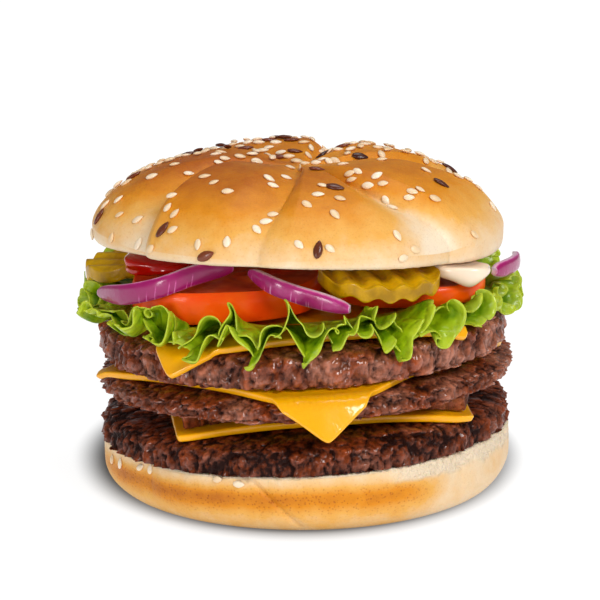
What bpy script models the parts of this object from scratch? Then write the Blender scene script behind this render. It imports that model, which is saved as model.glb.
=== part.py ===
"""Triple cheeseburger on a seeded pinwheel roll, as one closed solid for each piece of food.

Frame: +X to the right, +Y to the back, +Z up, metres. The origin is the middle of the burger's
footprint, on the surface that it stands on. Every layer runs through the stack, as the real one does.
"""

import math
import random

import bmesh
import bpy
from mathutils import Euler, Vector, noise


def mm(*values):
    """Millimetres as metres: one number, or several as a tuple."""
    scaled = tuple(value * 0.001 for value in values)
    return scaled[0] if len(scaled) == 1 else scaled


# Driving sizes
GAP = mm(0.35)
BUN_RADIUS = mm(57.5)
HEEL_HEIGHT = mm(17)
PATTY_THICKNESS = mm(10)
CHEESE_SIDE = mm(80.5)
CHEESE_THICKNESS = mm(2.1)
LEAF_THICKNESS = mm(1.2)
TOMATO_THICKNESS = mm(8)
CROWN_UNDERSIDE = mm(71)
CROWN_WIDEST = mm(75.8)
CROWN_APEX = mm(96.2)

# Heights of the layers, each resting on the one below with a hair of clearance
PATTY_STEP = PATTY_THICKNESS + GAP + CHEESE_THICKNESS + GAP
LOWER_PATTY_BASE = HEEL_HEIGHT + GAP
MIDDLE_PATTY_BASE = LOWER_PATTY_BASE + PATTY_STEP
UPPER_PATTY_BASE = MIDDLE_PATTY_BASE + PATTY_STEP
LEAF_BASE = UPPER_PATTY_BASE + PATTY_STEP
SALAD_BASE = LEAF_BASE + LEAF_THICKNESS + GAP

# The stack leans: its layers rise to the right by this slope, which the heel and the salad take up
LEAN = 0.045

# The pinwheel's creases, anticlockwise: azimuth at the rim and turn on the way to the hub, in degrees,
# and how deep each one is beside the others. Each lobe lies between its crease and the next one.
CREASES = ((-139, -26, 1.25), (-101, 20, 0.6), (-42, -42, 0.85), (20, -24, 1), (85, -20, 0.8), (150, -24, 0.4))
LOBE_LIFT = mm(1.4, 0.8, 1.4, 0.3, 0.6, -0.3)
LOBE_DEPTH = mm(4.6)
RIM_NOTCH = mm(3.6)

# The crown bends over the filling, so that its rim is this much lower at the left and right
RIM_DROOP = mm(2.5)
HUB_DEPTH = mm(4.7)
HUB_REACH = 0.3
CROWN_CENTRE = mm(-1.2, 0)

# The crown's cut face rises this much from the middle to the rim, towards this azimuth at the front left
CUT_RISE = mm(2.6)
CUT_RISES_TO = math.radians(-125)

# A patty's rim: the share of its height where it is widest, and how square each half of it is
WIDEST_SHARE = 0.42
TOP_SQUARENESS = 2.8
BASE_SQUARENESS = 4.5
PATTY_CRAG = mm(2.3)

# How far a soft rim can sag, until it lies on what is under it
RIM_SAG = mm(4)

COLOURS = {
    "crust": ((0.72, 0.40, 0.15), 0.55),
    "heel_crust": ((0.78, 0.50, 0.24), 0.6),
    "beef": ((0.14, 0.065, 0.045), 0.45),
    "cheese": ((0.95, 0.55, 0.04), 0.3),
    "lettuce": ((0.32, 0.58, 0.05), 0.4),
    "tomato": ((0.75, 0.12, 0.02), 0.25),
    "pickle": ((0.48, 0.40, 0.03), 0.3),
    "onion": ((0.42, 0.05, 0.25), 0.3),
    "mayonnaise": ((0.94, 0.80, 0.60), 0.2),
}


def polar(radius, azimuth, height, centre=(0, 0)):
    """A point at an azimuth in radians round an upright axis."""
    x = centre[0] + radius * math.cos(azimuth)
    y = centre[1] + radius * math.sin(azimuth)
    return Vector((x, y, height))


def ease(low, high, value):
    """0 below low, 1 above high, and smooth between them."""
    share = min(1, max(0, (value - low) / (high - low)))
    return share * share * (3 - 2 * share)


def food(colour):
    """The material of one kind of food."""
    made = bpy.data.materials.get(colour)
    if made is None:
        made = bpy.data.materials.new(colour)
        made.use_nodes = True
        rgb, roughness = COLOURS[colour]
        shader = made.node_tree.nodes["Principled BSDF"]
        shader.inputs["Base Color"].default_value = (*rgb, 1)
        shader.inputs["Roughness"].default_value = roughness
    return made


def add_object(name, shape, colour, location=(0, 0, 0), rotation=(0, 0, 0)):
    """Turns a bmesh into a smooth-shaded object with outward faces."""
    bmesh.ops.recalc_face_normals(shape, faces=shape.faces)
    if shape.calc_volume(signed=True) < 0:
        bmesh.ops.reverse_faces(shape, faces=shape.faces)
    mesh = bpy.data.meshes.new(name)
    shape.to_mesh(mesh)
    shape.free()
    mesh.shade_smooth()
    mesh.set_sharp_from_angle(angle=math.radians(40))
    mesh.materials.append(food(colour))
    made = bpy.data.objects.new(name, mesh)
    bpy.context.scene.collection.objects.link(made)
    made.location = location
    made.rotation_euler = rotation
    return made


def skin_rings(rings, closed_with_points=(None, None)):
    """A solid through rings of equally many points. Each end is a fan to a point, or one flat face."""
    shape = bmesh.new()
    made = [[shape.verts.new(point) for point in ring] for ring in rings]
    count = len(rings[0])
    for low, high in zip(made, made[1:]):
        for i in range(count):
            j = (i + 1) % count
            shape.faces.new((low[i], low[j], high[j], high[i]))
    for ring, point in zip((made[0], made[-1]), closed_with_points):
        if point is None:
            shape.faces.new(ring)
            continue
        tip = shape.verts.new(point)
        for i in range(count):
            shape.faces.new((ring[i], ring[(i + 1) % count], tip))
    return shape


def grid_sheet(under, over):
    """A thin solid between two grids of points, both faces split into triangles alike."""
    shape = bmesh.new()
    rows, columns = len(under), len(under[0])
    low = [[shape.verts.new(point) for point in row] for row in under]
    high = [[shape.verts.new(point) for point in row] for row in over]
    for i in range(rows - 1):
        for j in range(columns - 1):
            for side in (low, high):
                a, b = side[i][j], side[i + 1][j]
                c, d = side[i + 1][j + 1], side[i][j + 1]
                shape.faces.new((a, b, c))
                shape.faces.new((a, c, d))
    rim = [(i, 0) for i in range(rows)]
    rim += [(rows - 1, j) for j in range(1, columns)]
    rim += [(i, columns - 1) for i in range(rows - 2, -1, -1)]
    rim += [(0, j) for j in range(columns - 2, 0, -1)]
    for (i, j), (k, m) in zip(rim, rim[1:] + rim[:1]):
        shape.faces.new((low[i][j], low[k][m], high[k][m], high[i][j]))
    return shape


# The roll

def crease_depth(azimuth, reach):
    """How deep a crease is at an azimuth in degrees: 0 on a lobe, about 1 in a crease, and the lobe's number.

    The lobe after a crease rises steeply out of it, and the one before sinks gently under it.
    """
    starts = [rim + turn * (1 - reach) for rim, turn, _ in CREASES]
    starts.append(starts[0] + 360)
    around = (azimuth - starts[0]) % 360 + starts[0]
    lobe = max(i for i, start in enumerate(starts[:-1]) if start <= around)
    share = (around - starts[lobe]) / (starts[lobe + 1] - starts[lobe])
    steep = CREASES[lobe][2] * (1 - min(1, share / 0.14) ** 0.5)
    gentle = CREASES[(lobe + 1) % len(CREASES)][2] * 0.85 * ease(0.62, 1, share)
    return max(steep, gentle), lobe


def crown_point(azimuth, reach, centre=CROWN_CENTRE):
    """A point on the crown's top, where reach is its share of the way from the hub to the rim."""
    depth, lobe = crease_depth(math.degrees(azimuth), reach)
    dome = (1 - reach**2.2) ** 0.6 if reach < 1 else 0
    height = CROWN_WIDEST + (CROWN_APEX - CROWN_WIDEST) * dome
    height -= LOBE_DEPTH * depth * ease(0, 0.3, reach) * (1 - 0.6 * ease(0.7, 1, reach))
    height += LOBE_LIFT[lobe] * max(0, 1 - depth) * ease(0.2, 0.6, reach) * (1 - ease(0.8, 1, reach))
    height -= HUB_DEPTH * math.exp(-((reach / HUB_REACH) ** 2))
    height -= 0.3 * RIM_DROOP * math.cos(azimuth) ** 2 * ease(0.85, 1, reach)
    radius = (BUN_RADIUS - RIM_NOTCH * depth * ease(0.65, 1, reach)) * reach
    return polar(radius, azimuth, height, centre)


def crown_underside(azimuth, share):
    """Height of the crown's cut face, a slightly tilted plane with a lip that droops at the left and right."""
    rise = CUT_RISE * math.cos(azimuth - CUT_RISES_TO) * share
    return CROWN_UNDERSIDE + rise - RIM_DROOP * math.cos(azimuth) ** 2 * ease(0.88, 0.97, share)


def under_crown(x, y):
    """Height of the crown's cut face over a point."""
    x -= CROWN_CENTRE[0]
    azimuth = math.atan2(y, x)
    rim = crown_point(azimuth, 1, (0, 0))
    return crown_underside(azimuth, math.hypot(x, y) / math.hypot(rim.x, rim.y))


def seed(name, place, facing, turn, size):
    """One seed, pointed at one end, half sunk where it lies."""
    shape = bmesh.new()
    bmesh.ops.create_uvsphere(shape, u_segments=5, v_segments=4, radius=0.5)
    for vertex in shape.verts:
        taper = 1 - 0.45 * max(0, vertex.co.z * 2) ** 1.5
        x, y, z = vertex.co
        vertex.co = (z * size[0], x * taper * size[1], y * taper * size[2])
    rotation = facing.to_track_quat("Z", "Y")
    spin = Euler((0, 0, turn)).to_quaternion()
    made = add_object(name, shape, "crust", place, (rotation @ spin).to_euler())
    return made


def drop_scraps(mesh):
    """Keeps a mesh's largest body: a seed that doesn't reach the crust is a loose scrap."""
    shape = bmesh.new()
    shape.from_mesh(mesh)
    unseen = set(shape.verts)
    bodies = []
    while unseen:
        body, front = set(), [unseen.pop()]
        while front:
            vertex = front.pop()
            body.add(vertex)
            for edge in vertex.link_edges:
                other = edge.other_vert(vertex)
                if other in unseen:
                    unseen.remove(other)
                    front.append(other)
        bodies.append(body)
    bodies.sort(key=len)
    for body in bodies[:-1]:
        bmesh.ops.delete(shape, geom=list(body), context="VERTS")
    shape.to_mesh(mesh)
    shape.free()


def fuse(base, extras):
    """Joins pieces to what they lie on by one Boolean union, then removes them."""
    gathered = bpy.data.collections.new(base.name + "_toppings")
    bpy.context.scene.collection.children.link(gathered)
    for extra in extras:
        bpy.context.scene.collection.objects.unlink(extra)
        gathered.objects.link(extra)
    union = base.modifiers.new("fused", "BOOLEAN")
    union.operation = "UNION"
    union.operand_type = "COLLECTION"
    union.collection = gathered
    union.solver = "MANIFOLD"
    bpy.context.view_layer.update()
    graph = bpy.context.evaluated_depsgraph_get()
    joined = bpy.data.meshes.new_from_object(base.evaluated_get(graph))
    base.modifiers.clear()
    drop_scraps(joined)
    base.data = joined
    for extra in extras:
        bpy.data.objects.remove(extra)
    bpy.data.collections.remove(gathered)


SESAME = mm(3.5, 2.2, 1.5)
FLAX = mm(5.0, 2.6, 1.7)
SEED_COUNT = 43
FLAX_EVERY = 6
SEED_SPACING = mm(5.2)


def scattered_seeds():
    """Seeds over the crown, closest together round the hub, none within a seed's length of another."""
    draw = random.Random(11)
    places = []
    while len(places) < SEED_COUNT:
        reach = 0.04 + 0.92 * draw.random() ** 0.62
        azimuth = draw.uniform(-math.pi, math.pi)
        turn = draw.uniform(0, math.pi)
        spot = crown_point(azimuth, reach)
        if all((spot - other[0]).length > SEED_SPACING for other in places):
            along = crown_point(azimuth, min(0.999, reach + 0.02)) - spot
            around = crown_point(azimuth + 0.03, reach) - spot
            facing = along.cross(around).normalized()
            if facing.z < 0:
                facing.negate()
            places.append((spot, facing, turn))
    made = []
    for i, (spot, facing, turn) in enumerate(places):
        size = FLAX if i % FLAX_EVERY == 0 else SESAME
        made.append(seed(f"seed_{i}", spot + facing * size[2] * 0.12, facing, turn, size))
    return made


def build_crown():
    """The top half of the roll: a flat cut underside, a rounded rim and a lobed dome."""
    steps = 72
    azimuths = [2 * math.pi * i / steps for i in range(steps)]
    rings = []
    for share, lift in ((0.88, 0), (0.955, 0.04), (0.985, 0.25), (1.0, 0.7)):
        ring = []
        for azimuth in azimuths:
            rim = crown_point(azimuth, 1, (0, 0)) * share
            low = crown_underside(azimuth, share)
            height = low + (rim.z / share - low) * lift
            ring.append(Vector((rim.x + CROWN_CENTRE[0], rim.y, height)))
        rings.append(ring)
    for reach in (0.985, 0.93, 0.84, 0.73, 0.6, 0.46, 0.32, 0.18, 0.07):
        rings.append([crown_point(azimuth, reach) for azimuth in azimuths])
    hub = Vector((*CROWN_CENTRE, CROWN_APEX - HUB_DEPTH))
    crown = add_object("crown", skin_rings(rings, (None, hub)), "crust")
    fuse(crown, scattered_seeds())


# The heel's foot is fuller towards this azimuth, front left
FOOT_SWELL = math.radians(-135)


def heel_radius(azimuth, height):
    """The heel's radius: a rounded foot under a straight side, with the roll's creases in it."""
    foot, belly = mm(46) + mm(2.5) * max(0, math.cos(azimuth - FOOT_SWELL)), mm(9.5)
    low = max(0, 1 - height / belly)
    radius = foot + (BUN_RADIUS - foot) * math.sqrt(1 - low**2)
    depth, _ = crease_depth(math.degrees(azimuth), 1)
    return radius - mm(1.1) * depth * ease(0, belly, height)


def build_heel():
    """The bottom half of the roll, with a few seeds that strayed onto its side."""
    centre = mm(1.3, 0)
    steps = 54
    azimuths = [2 * math.pi * i / steps for i in range(steps)]
    rings = []
    for height in mm(0, 0.6, 2.2, 5, 9.5, 14.5, 16.4):
        rings.append([polar(heel_radius(a, height), a, height, centre) for a in azimuths])
    rings.append([polar(heel_radius(a, HEEL_HEIGHT) - mm(1.2), a, HEEL_HEIGHT, centre) for a in azimuths])
    heel = add_object("heel", skin_rings(rings), "heel_crust")
    strays = []
    for i, (degrees, height) in enumerate(((-141, 12.5), (-137, 11), (-112, 11.5), (-106, 10), (64, 12))):
        azimuth, level = math.radians(degrees), mm(height)
        facing = Vector((math.cos(azimuth), math.sin(azimuth), 0))
        spot = polar(heel_radius(azimuth, level), azimuth, level, centre)
        strays.append(seed(f"stray_{i}", spot, facing, 0.4 * i, SESAME))
    fuse(heel, strays)


# Patties and cheese

PATTIES = {
    "patty_lower": {"lies_on": "heel", "base": LOWER_PATTY_BASE, "radius": mm(58.2), "centre": mm(0.8, -0.8), "seed": 3},
    "patty_middle": {"lies_on": "cheese_lower", "base": MIDDLE_PATTY_BASE, "radius": mm(58.8), "centre": mm(1.1, 0), "seed": 17},
    "patty_upper": {"lies_on": "cheese_middle", "base": UPPER_PATTY_BASE, "radius": mm(58), "centre": mm(0.3, 0), "seed": 29},
}


def superellipse(share, squareness):
    return max(0, 1 - share**squareness) ** (1 / squareness)


def patty_top(patty, radius):
    """Height of a patty's smooth top at a radius from its axis."""
    widest = patty["base"] + PATTY_THICKNESS * WIDEST_SHARE
    share = min(1, radius / patty["radius"])
    return widest + PATTY_THICKNESS * (1 - WIDEST_SHARE) * superellipse(share, TOP_SQUARENESS)


def resting_floor(patty, x, y):
    """Height of what a patty lies on, round a point: the heel, or a slice and the patty under that."""
    if patty["lies_on"] == "heel":
        return HEEL_HEIGHT + GAP
    cheese = CHEESES[patty["lies_on"]]
    return highest_round(cheese, x, y, mm(3)) + GAP


def highest_round(cheese, x, y, reach):
    """The highest of a slice and its patty over a point and eight more round it."""
    patty, curve = PATTIES[cheese["patty"]], drape_curve(cheese)
    heights = [patty["base"]]
    for i in range(9):
        turn = i * math.pi / 4
        px, py = (x + reach * math.cos(turn), y + reach * math.sin(turn)) if i else (x, y)
        off_axis = math.hypot(px - patty["centre"][0], py - patty["centre"][1])
        if off_axis < patty["radius"]:
            heights.append(patty_top(patty, off_axis))
        top = cheese_top(cheese, curve, px, py)
        if top is not None:
            heights.append(top)
    return max(heights)


def build_patty(name):
    """Pressed minced beef: a thick disc with a ragged, craggy rim, sunk below its smooth outline."""
    patty = PATTIES[name]
    steps = 50
    widest = patty["base"] + PATTY_THICKNESS * WIDEST_SHARE
    below, above = PATTY_THICKNESS * WIDEST_SHARE, PATTY_THICKNESS * (1 - WIDEST_SHARE)
    profile = [(s, widest - below * superellipse(s, BASE_SQUARENESS)) for s in (0.45, 0.8, 0.94, 0.99)]
    lower_rows = len(profile)
    profile += [(1.0, widest)]
    profile += [(s, widest + above * superellipse(s, TOP_SQUARENESS)) for s in (0.975, 0.9, 0.78, 0.45)]
    rings = []
    for row, (share, height) in enumerate(profile):
        ring = []
        for i in range(steps):
            azimuth = 2 * math.pi * i / steps
            smooth = polar(patty["radius"] * share, azimuth, height, patty["centre"])
            spot = Vector((smooth.x, smooth.y, smooth.z * 1.3)) * 150 + Vector((0, 0, patty["seed"]))
            crag = 0.5 + 0.5 * noise.noise(spot) + 0.35 * noise.noise(spot * 2.1)
            sunk = PATTY_CRAG * min(1, max(0, crag)) * ease(0.5, 0.9, share)
            axis = Vector((*patty["centre"], widest))
            inward = (axis - smooth) * Vector((1, 1, 2))
            craggy = smooth + inward.normalized() * sunk
            if row <= lower_rows:
                sag = RIM_SAG * ease(0.7, 0.95, share) * (0.5 if row == lower_rows else 1)
                floor = min(craggy.z, resting_floor(patty, craggy.x, craggy.y))
                craggy.z = max(floor, craggy.z - sag)
            ring.append(craggy)
        rings.append(ring)
    low = Vector((*patty["centre"], patty["base"]))
    high = Vector((*patty["centre"], patty["base"] + PATTY_THICKNESS))
    add_object(name, skin_rings(rings, (low, high)), "beef")


# Each slice: the patty under it, the middle of the slice, its turn, and how steeply its corners hang
CHEESES = {
    "cheese_lower": {"patty": "patty_lower", "middle": mm(2, -2.4), "turn": 6, "slope": 70},
    "cheese_middle": {"patty": "patty_middle", "middle": mm(0.4, -12.8), "turn": 52, "slope": 68},
    "cheese_upper": {"patty": "patty_upper", "middle": mm(-2.6, -9.2), "turn": 9, "slope": 68},
}
STANDOFF = mm(1.8)


def drape_curve(cheese):
    """Points (length along the slice, radius, height, slope) down the patty's top, until the slope is reached."""
    patty = PATTIES[cheese["patty"]]
    limit = math.radians(cheese["slope"])
    step = mm(0.25)
    points = [(0, 0, patty_top(patty, 0), 0)]
    length, radius = 0, 0
    while points[-1][3] < limit and radius < patty["radius"] - step:
        before = patty_top(patty, radius)
        radius += step
        after = patty_top(patty, radius)
        length += math.hypot(step, before - after)
        points.append((length, radius, after, math.atan2(before - after, step)))
    return points


def draped(curve, length, lift):
    """Radius and height at a length along a draped slice, lifted square off the patty."""
    last = curve[-1]
    if length >= last[0]:
        beyond = length - last[0]
        radius = last[1] + beyond * math.cos(last[3])
        height = last[2] - beyond * math.sin(last[3])
        slope = last[3]
    else:
        after = next(i for i, point in enumerate(curve) if point[0] > length)
        low, high = curve[after - 1], curve[after]
        share = (length - low[0]) / (high[0] - low[0])
        radius, height, slope = (a + (b - a) * share for a, b in zip(low[1:], high[1:]))
    lift += STANDOFF * ease(0.15, 0.7, slope)
    return radius + lift * math.sin(slope), height + lift * math.cos(slope)


def cheese_point(cheese, curve, across, along, lift):
    """A point of a slice, from its place on the flat square, -1 to 1 each way."""
    turn = math.radians(cheese["turn"])
    half = CHEESE_SIDE / 2
    x = half * (across * math.cos(turn) - along * math.sin(turn))
    y = half * (across * math.sin(turn) + along * math.cos(turn))
    axis = PATTIES[cheese["patty"]]["centre"]
    x += cheese["middle"][0] - axis[0]
    y += cheese["middle"][1] - axis[1]
    radius, height = draped(curve, math.hypot(x, y), lift)
    return polar(radius, math.atan2(y, x), height, axis)


def build_cheese(name):
    """A square slice that lies on its patty and hangs at the corners."""
    cheese = CHEESES[name]
    curve = drape_curve(cheese)
    cells = 12
    ticks = [math.sin(math.pi / 2 * (2 * i / cells - 1)) for i in range(cells + 1)]
    corner = 0.988
    under, over = [], []
    for across in ticks:
        low, high = [], []
        for along in ticks:
            pull = corner if abs(across) == 1 and abs(along) == 1 else 1
            low.append(cheese_point(cheese, curve, across * pull, along * pull, GAP))
            high.append(cheese_point(cheese, curve, across * pull, along * pull, GAP + CHEESE_THICKNESS))
        under.append(low)
        over.append(high)
    add_object(name, grid_sheet(under, over), "cheese")


# Salad: round slices as (middle, half sizes, base height, thickness, tilt in degrees about X and Y)

TOMATOES = {
    "tomato_front_left": (mm(-20.5, -23), mm(26, 20.5), SALAD_BASE, TOMATO_THICKNESS, (2, -1)),
    "tomato_front_right": (mm(29.5, -14), mm(21, 21.5), SALAD_BASE, mm(6), (1, 1)),
    "tomato_back_left": (mm(-21, 26.5), mm(22, 21.5), SALAD_BASE, mm(6.5), (0, -1)),
    "tomato_back_right": (mm(22, 30), mm(21, 20.5), SALAD_BASE, mm(6), (-1, 1)),
}
PICKLES = {
    "pickle_front": (mm(20.4, -37.5), mm(16.5, 15), mm(64.1), mm(5.3), (5, 3), 0.2),
    "pickle_left": (mm(-49, 3), mm(12, 12.2), mm(61.2), mm(4.4), (2, -7), 1.1),
    "pickle_back": (mm(-10, 40), mm(15.5, 14.5), mm(64.4), mm(4.8), (-3, 0), 1.4),
}
CRINKLE_HEIGHT = mm(1.4)
CRINKLE_LENGTH = mm(6.6)


def tilt_of(slice_of):
    return tuple(math.radians(angle) for angle in slice_of[4])


def underside(slice_of, x, y):
    """Height of a tilted slice's lower plane above a point."""
    about_x, about_y = tilt_of(slice_of)
    (cx, cy), base = slice_of[0], slice_of[2]
    return base + (y - cy) * math.tan(about_x) - (x - cx) * math.tan(about_y)


def add_tomato(name, slice_of, grown=0):
    """A slice with a rounded skin side, a little squarer than a circle, which may be grown all round."""
    middle, half, base, thickness, _ = slice_of
    steps = 28
    rings = []
    for share, lift in ((0.965, 0), (1.0, 0.3), (1.0, 0.7), (0.97, 1)):
        ring = []
        for i in range(steps):
            azimuth = 2 * math.pi * i / steps
            across, along = math.cos(azimuth), math.sin(azimuth)
            lobed = share / (abs(across) ** 2.5 + abs(along) ** 2.5) ** 0.4
            x = (half[0] + grown) * lobed * across
            y = (half[1] + grown) * lobed * along
            ring.append((x, y, thickness * lift + grown * (2 * lift - 1)))
        rings.append(ring)
    about_x, about_y = tilt_of(slice_of)
    return add_object(name, skin_rings(rings), "tomato", (*middle, base), (about_x, about_y, 0))


def build_pickle(name):
    """A crinkle-cut gherkin slice: both faces follow the same ridges."""
    middle, half, base, thickness, _, ridge_turn = PICKLES[name]
    steps = 26
    shares = (0.36, 0.7, 1.0)

    def spot(share, azimuth, lift):
        x, y = half[0] * share * math.cos(azimuth), half[1] * share * math.sin(azimuth)
        across = x * math.cos(ridge_turn) + y * math.sin(ridge_turn)
        ridge = CRINKLE_HEIGHT * (1 - math.cos(2 * math.pi * across / CRINKLE_LENGTH)) / 2
        return Vector((x, y, lift + ridge))

    azimuths = [2 * math.pi * i / steps for i in range(steps)]
    rings = [[spot(share, a, 0) for a in azimuths] for share in shares]
    rings += [[spot(share, a, thickness - CRINKLE_HEIGHT) for a in azimuths] for share in reversed(shares)]
    low, high = spot(0, 0, 0), spot(0, 0, thickness - CRINKLE_HEIGHT)
    about_x, about_y = tilt_of(PICKLES[name])
    add_object(name, skin_rings(rings, (low, high)), "pickle", (*middle, base), (about_x, about_y, 0))


# Onion strips: points along each one in millimetres, the height at its middle and its wall
ONION_LEFT = ((-55, -23, 61.4), (-47.8, -35.8, 63.2), (-38.5, -42.6, 66), (-28, -41.9, 69.2), (-19, -37.5, 70))
ONION_CENTRE = ((-13.5, -37.5, 68.5), (-8, -46.2, 67.1), (-0.9, -48.6, 64.9), (6.1, -51.5, 63.4), (12.6, -53.4, 61.8))
ONION_RIGHT = ((52.5, -20, 64), (56, -15, 63.7), (59.2, -7, 63.4), (59.8, 3, 63.2))
ONION_BACK = ((8, 53.5, 65.5), (20, 56, 65.3), (35, 50.5, 65.1), (45, 38, 64.9))
ONIONS = {
    "onion_left": (ONION_LEFT, mm(5.2)),
    "onion_centre": (ONION_CENTRE, mm(4.9)),
    "onion_right": (ONION_RIGHT, mm(5.4)),
    "onion_back": (ONION_BACK, mm(4.6)),
}
ONION_WALL = mm(2.2)


def smooth_path(points, count):
    """Evenly counted points on a curve through the given ones, in metres."""
    ends = [points[0]] + list(points) + [points[-1]]
    knots = [Vector(mm(*point)) for point in ends]
    path = []
    for i in range(count):
        place = (len(points) - 1) * i / (count - 1)
        k = min(int(place), len(points) - 2)
        t = place - k
        a, b, c, d = knots[k : k + 4]
        path.append(
            0.5 * (2 * b + (c - a) * t + (2 * a - 5 * b + 4 * c - d) * t * t + (3 * b - a - 3 * c + d) * t**3)
        )
    return path


def onion_path(name):
    return smooth_path(ONIONS[name][0], 15)


def build_onion(name):
    """A strip of red onion ring standing on its cut edge."""
    path = onion_path(name)
    height = ONIONS[name][1]
    rings = []
    for i, point in enumerate(path):
        along = (path[min(i + 1, len(path) - 1)] - path[max(i - 1, 0)]).normalized()
        out = along.cross(Vector((0, 0, 1))).normalized() * ONION_WALL / 2
        fullness = 1 - 0.6 * (2 * i / (len(path) - 1) - 1) ** 4
        up = Vector((0, 0, height / 2)) * fullness
        bow = out * 0.35
        rings.append([point - out - up, point + out - up, point + out + bow, point + out + up, point - out + up])
    add_object(name, skin_rings(rings), "onion")


def near_onion(name, x, y, margin):
    """Height of an onion strip's lower edge if it passes near a point, or None."""
    close = [p.z for p in onion_path(name) if math.hypot(p.x - x, p.y - y) < margin]
    return min(close) - ONIONS[name][1] / 2 if close else None


# The lettuce

LEAF_STEPS = 104
LEAF_MIDDLE = mm(-2, -1)
LEAF_RADII = mm(42, 50, 56.5, 62)
LEAF_RUFFLES = 26
LEAF_SWING = mm(0, 0.4, 3, 6.5)
LEAF_LIFT = mm(0, 0, 0.6, 1.6)
FRILL_TOP = mm(66.5)


def cheese_top(cheese, curve, x, y):
    """Height of a draped slice's top over a point, or None where the slice doesn't reach."""
    axis = PATTIES[cheese["patty"]]["centre"]
    radius, azimuth = math.hypot(x - axis[0], y - axis[1]), math.atan2(y - axis[1], x - axis[0])
    lift = GAP + CHEESE_THICKNESS
    low, high = 0, mm(90)
    while high - low > mm(0.05):
        middle = (low + high) / 2
        if draped(curve, middle, lift)[0] < radius:
            low = middle
        else:
            high = middle
    flat = polar(low, azimuth, 0, axis) - Vector((*cheese["middle"], 0))
    turn = math.radians(cheese["turn"])
    across = flat.x * math.cos(turn) + flat.y * math.sin(turn)
    along = flat.y * math.cos(turn) - flat.x * math.sin(turn)
    if max(abs(across), abs(along)) > CHEESE_SIDE / 2 + mm(0.5):
        return None
    return draped(curve, low, lift)[1]


def leaf_floor(x, y):
    """The highest thing under the leaf round a point."""
    return max(mm(40), highest_round(CHEESES["cheese_upper"], x, y, mm(3.4))) + GAP + mm(0.3)


def leaf_ceiling(x, y):
    """The lowest thing over the leaf round a point."""
    margin = mm(6)
    heights = [FRILL_TOP]
    for slice_of in list(TOMATOES.values()) + list(PICKLES.values()):
        (cx, cy), half = slice_of[0], slice_of[1]
        if math.hypot((x - cx) / (half[0] + margin), (y - cy) / (half[1] + margin)) < 1:
            heights.append(underside(slice_of, x, y) - mm(0.5))
    for name in ONIONS:
        strip = near_onion(name, x, y, mm(5))
        if strip is not None:
            heights.append(strip - mm(0.5))
    return min(heights) - GAP


def build_lettuce():
    """A frilled leaf: flat under the salad, with a ruffled edge that swings up and down past the patty."""
    under, over = [], []
    for radius, swing, lift in zip(LEAF_RADII, LEAF_SWING, LEAF_LIFT):
        low, high = [], []
        for i in range(LEAF_STEPS):
            azimuth = 2 * math.pi * i / LEAF_STEPS
            ruffle = 0.6 * math.sin(LEAF_RUFFLES * azimuth + 1.6 * math.sin(3 * azimuth))
            ruffle += 0.4 * math.sin(9 * azimuth + 2 * math.sin(2 * azimuth))
            wander = 0.025 * math.sin(5 * azimuth + 2) + 0.02 * math.sin(LEAF_RUFFLES * azimuth + 1.2)
            reach = radius * (1 + wander * ease(mm(50), mm(62), radius))
            spot = polar(reach, azimuth, LEAF_BASE + lift + swing * ruffle, LEAF_MIDDLE)
            floor, ceiling = leaf_floor(spot.x, spot.y), leaf_ceiling(spot.x, spot.y)
            base = max(floor, min(spot.z, ceiling - LEAF_THICKNESS))
            low.append(Vector((spot.x, spot.y, base)))
            high.append(Vector((spot.x, spot.y, base + LEAF_THICKNESS)))
        under.append(low)
        over.append(high)
    middle = [Vector((*LEAF_MIDDLE, height)) for height in (LEAF_BASE, LEAF_BASE + LEAF_THICKNESS)]
    add_object("lettuce", skin_rings(under + over[::-1], middle), "lettuce")


def build_mayonnaise():
    """A drop of sauce squeezed out between the crown and the tomato, cut clear of the tomato."""
    shape = bmesh.new()
    bmesh.ops.create_uvsphere(shape, u_segments=16, v_segments=8, radius=1)
    half, middle = Vector(mm(7.6, 6.5, 5.3)), Vector(mm(43.8, -31, 67.6))
    for vertex in shape.verts:
        spot = vertex.co * half + middle
        spot.z = min(spot.z, under_crown(spot.x, spot.y) - 2 * GAP)
        vertex.co = spot
    blob = add_object("mayonnaise", shape, "mayonnaise")
    cutter = add_tomato("mayonnaise_cutter", TOMATOES["tomato_front_right"], mm(0.5))
    cutter.hide_render = True
    cutter.display_type = "WIRE"
    cut = blob.modifiers.new("clear of the tomato", "BOOLEAN")
    cut.operation = "DIFFERENCE"
    cut.object = cutter


def settle(piece):
    """Gives a piece its part of the stack's lean: none at the floor, all of it from the heel to the leaf."""
    bpy.context.view_layer.update()
    place = piece.matrix_world.copy()
    back = place.inverted()
    for vertex in piece.data.vertices:
        spot = place @ vertex.co
        salad = (spot.z - LEAF_BASE) / (CROWN_UNDERSIDE - LEAF_BASE)
        share = min(1, spot.z / HEEL_HEIGHT) * (1 - min(1, max(0, salad)))
        spot.z += LEAN * spot.x * share
        vertex.co = back @ spot


def stand_on_origin():
    """Shifts the stack so that the origin is the middle of its footprint."""
    bpy.context.view_layer.update()
    corners = []
    for piece in bpy.context.scene.objects:
        if piece.type == "MESH" and not piece.hide_render:
            corners += [piece.matrix_world @ vertex.co for vertex in piece.data.vertices]
    middle_x = (min(c.x for c in corners) + max(c.x for c in corners)) / 2
    middle_y = (min(c.y for c in corners) + max(c.y for c in corners)) / 2
    stack = bpy.data.objects.new("stack", None)
    bpy.context.scene.collection.objects.link(stack)
    for piece in bpy.context.scene.objects:
        if piece.type == "MESH":
            piece.parent = stack
    stack.location = (-middle_x, -middle_y, 0)


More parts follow.
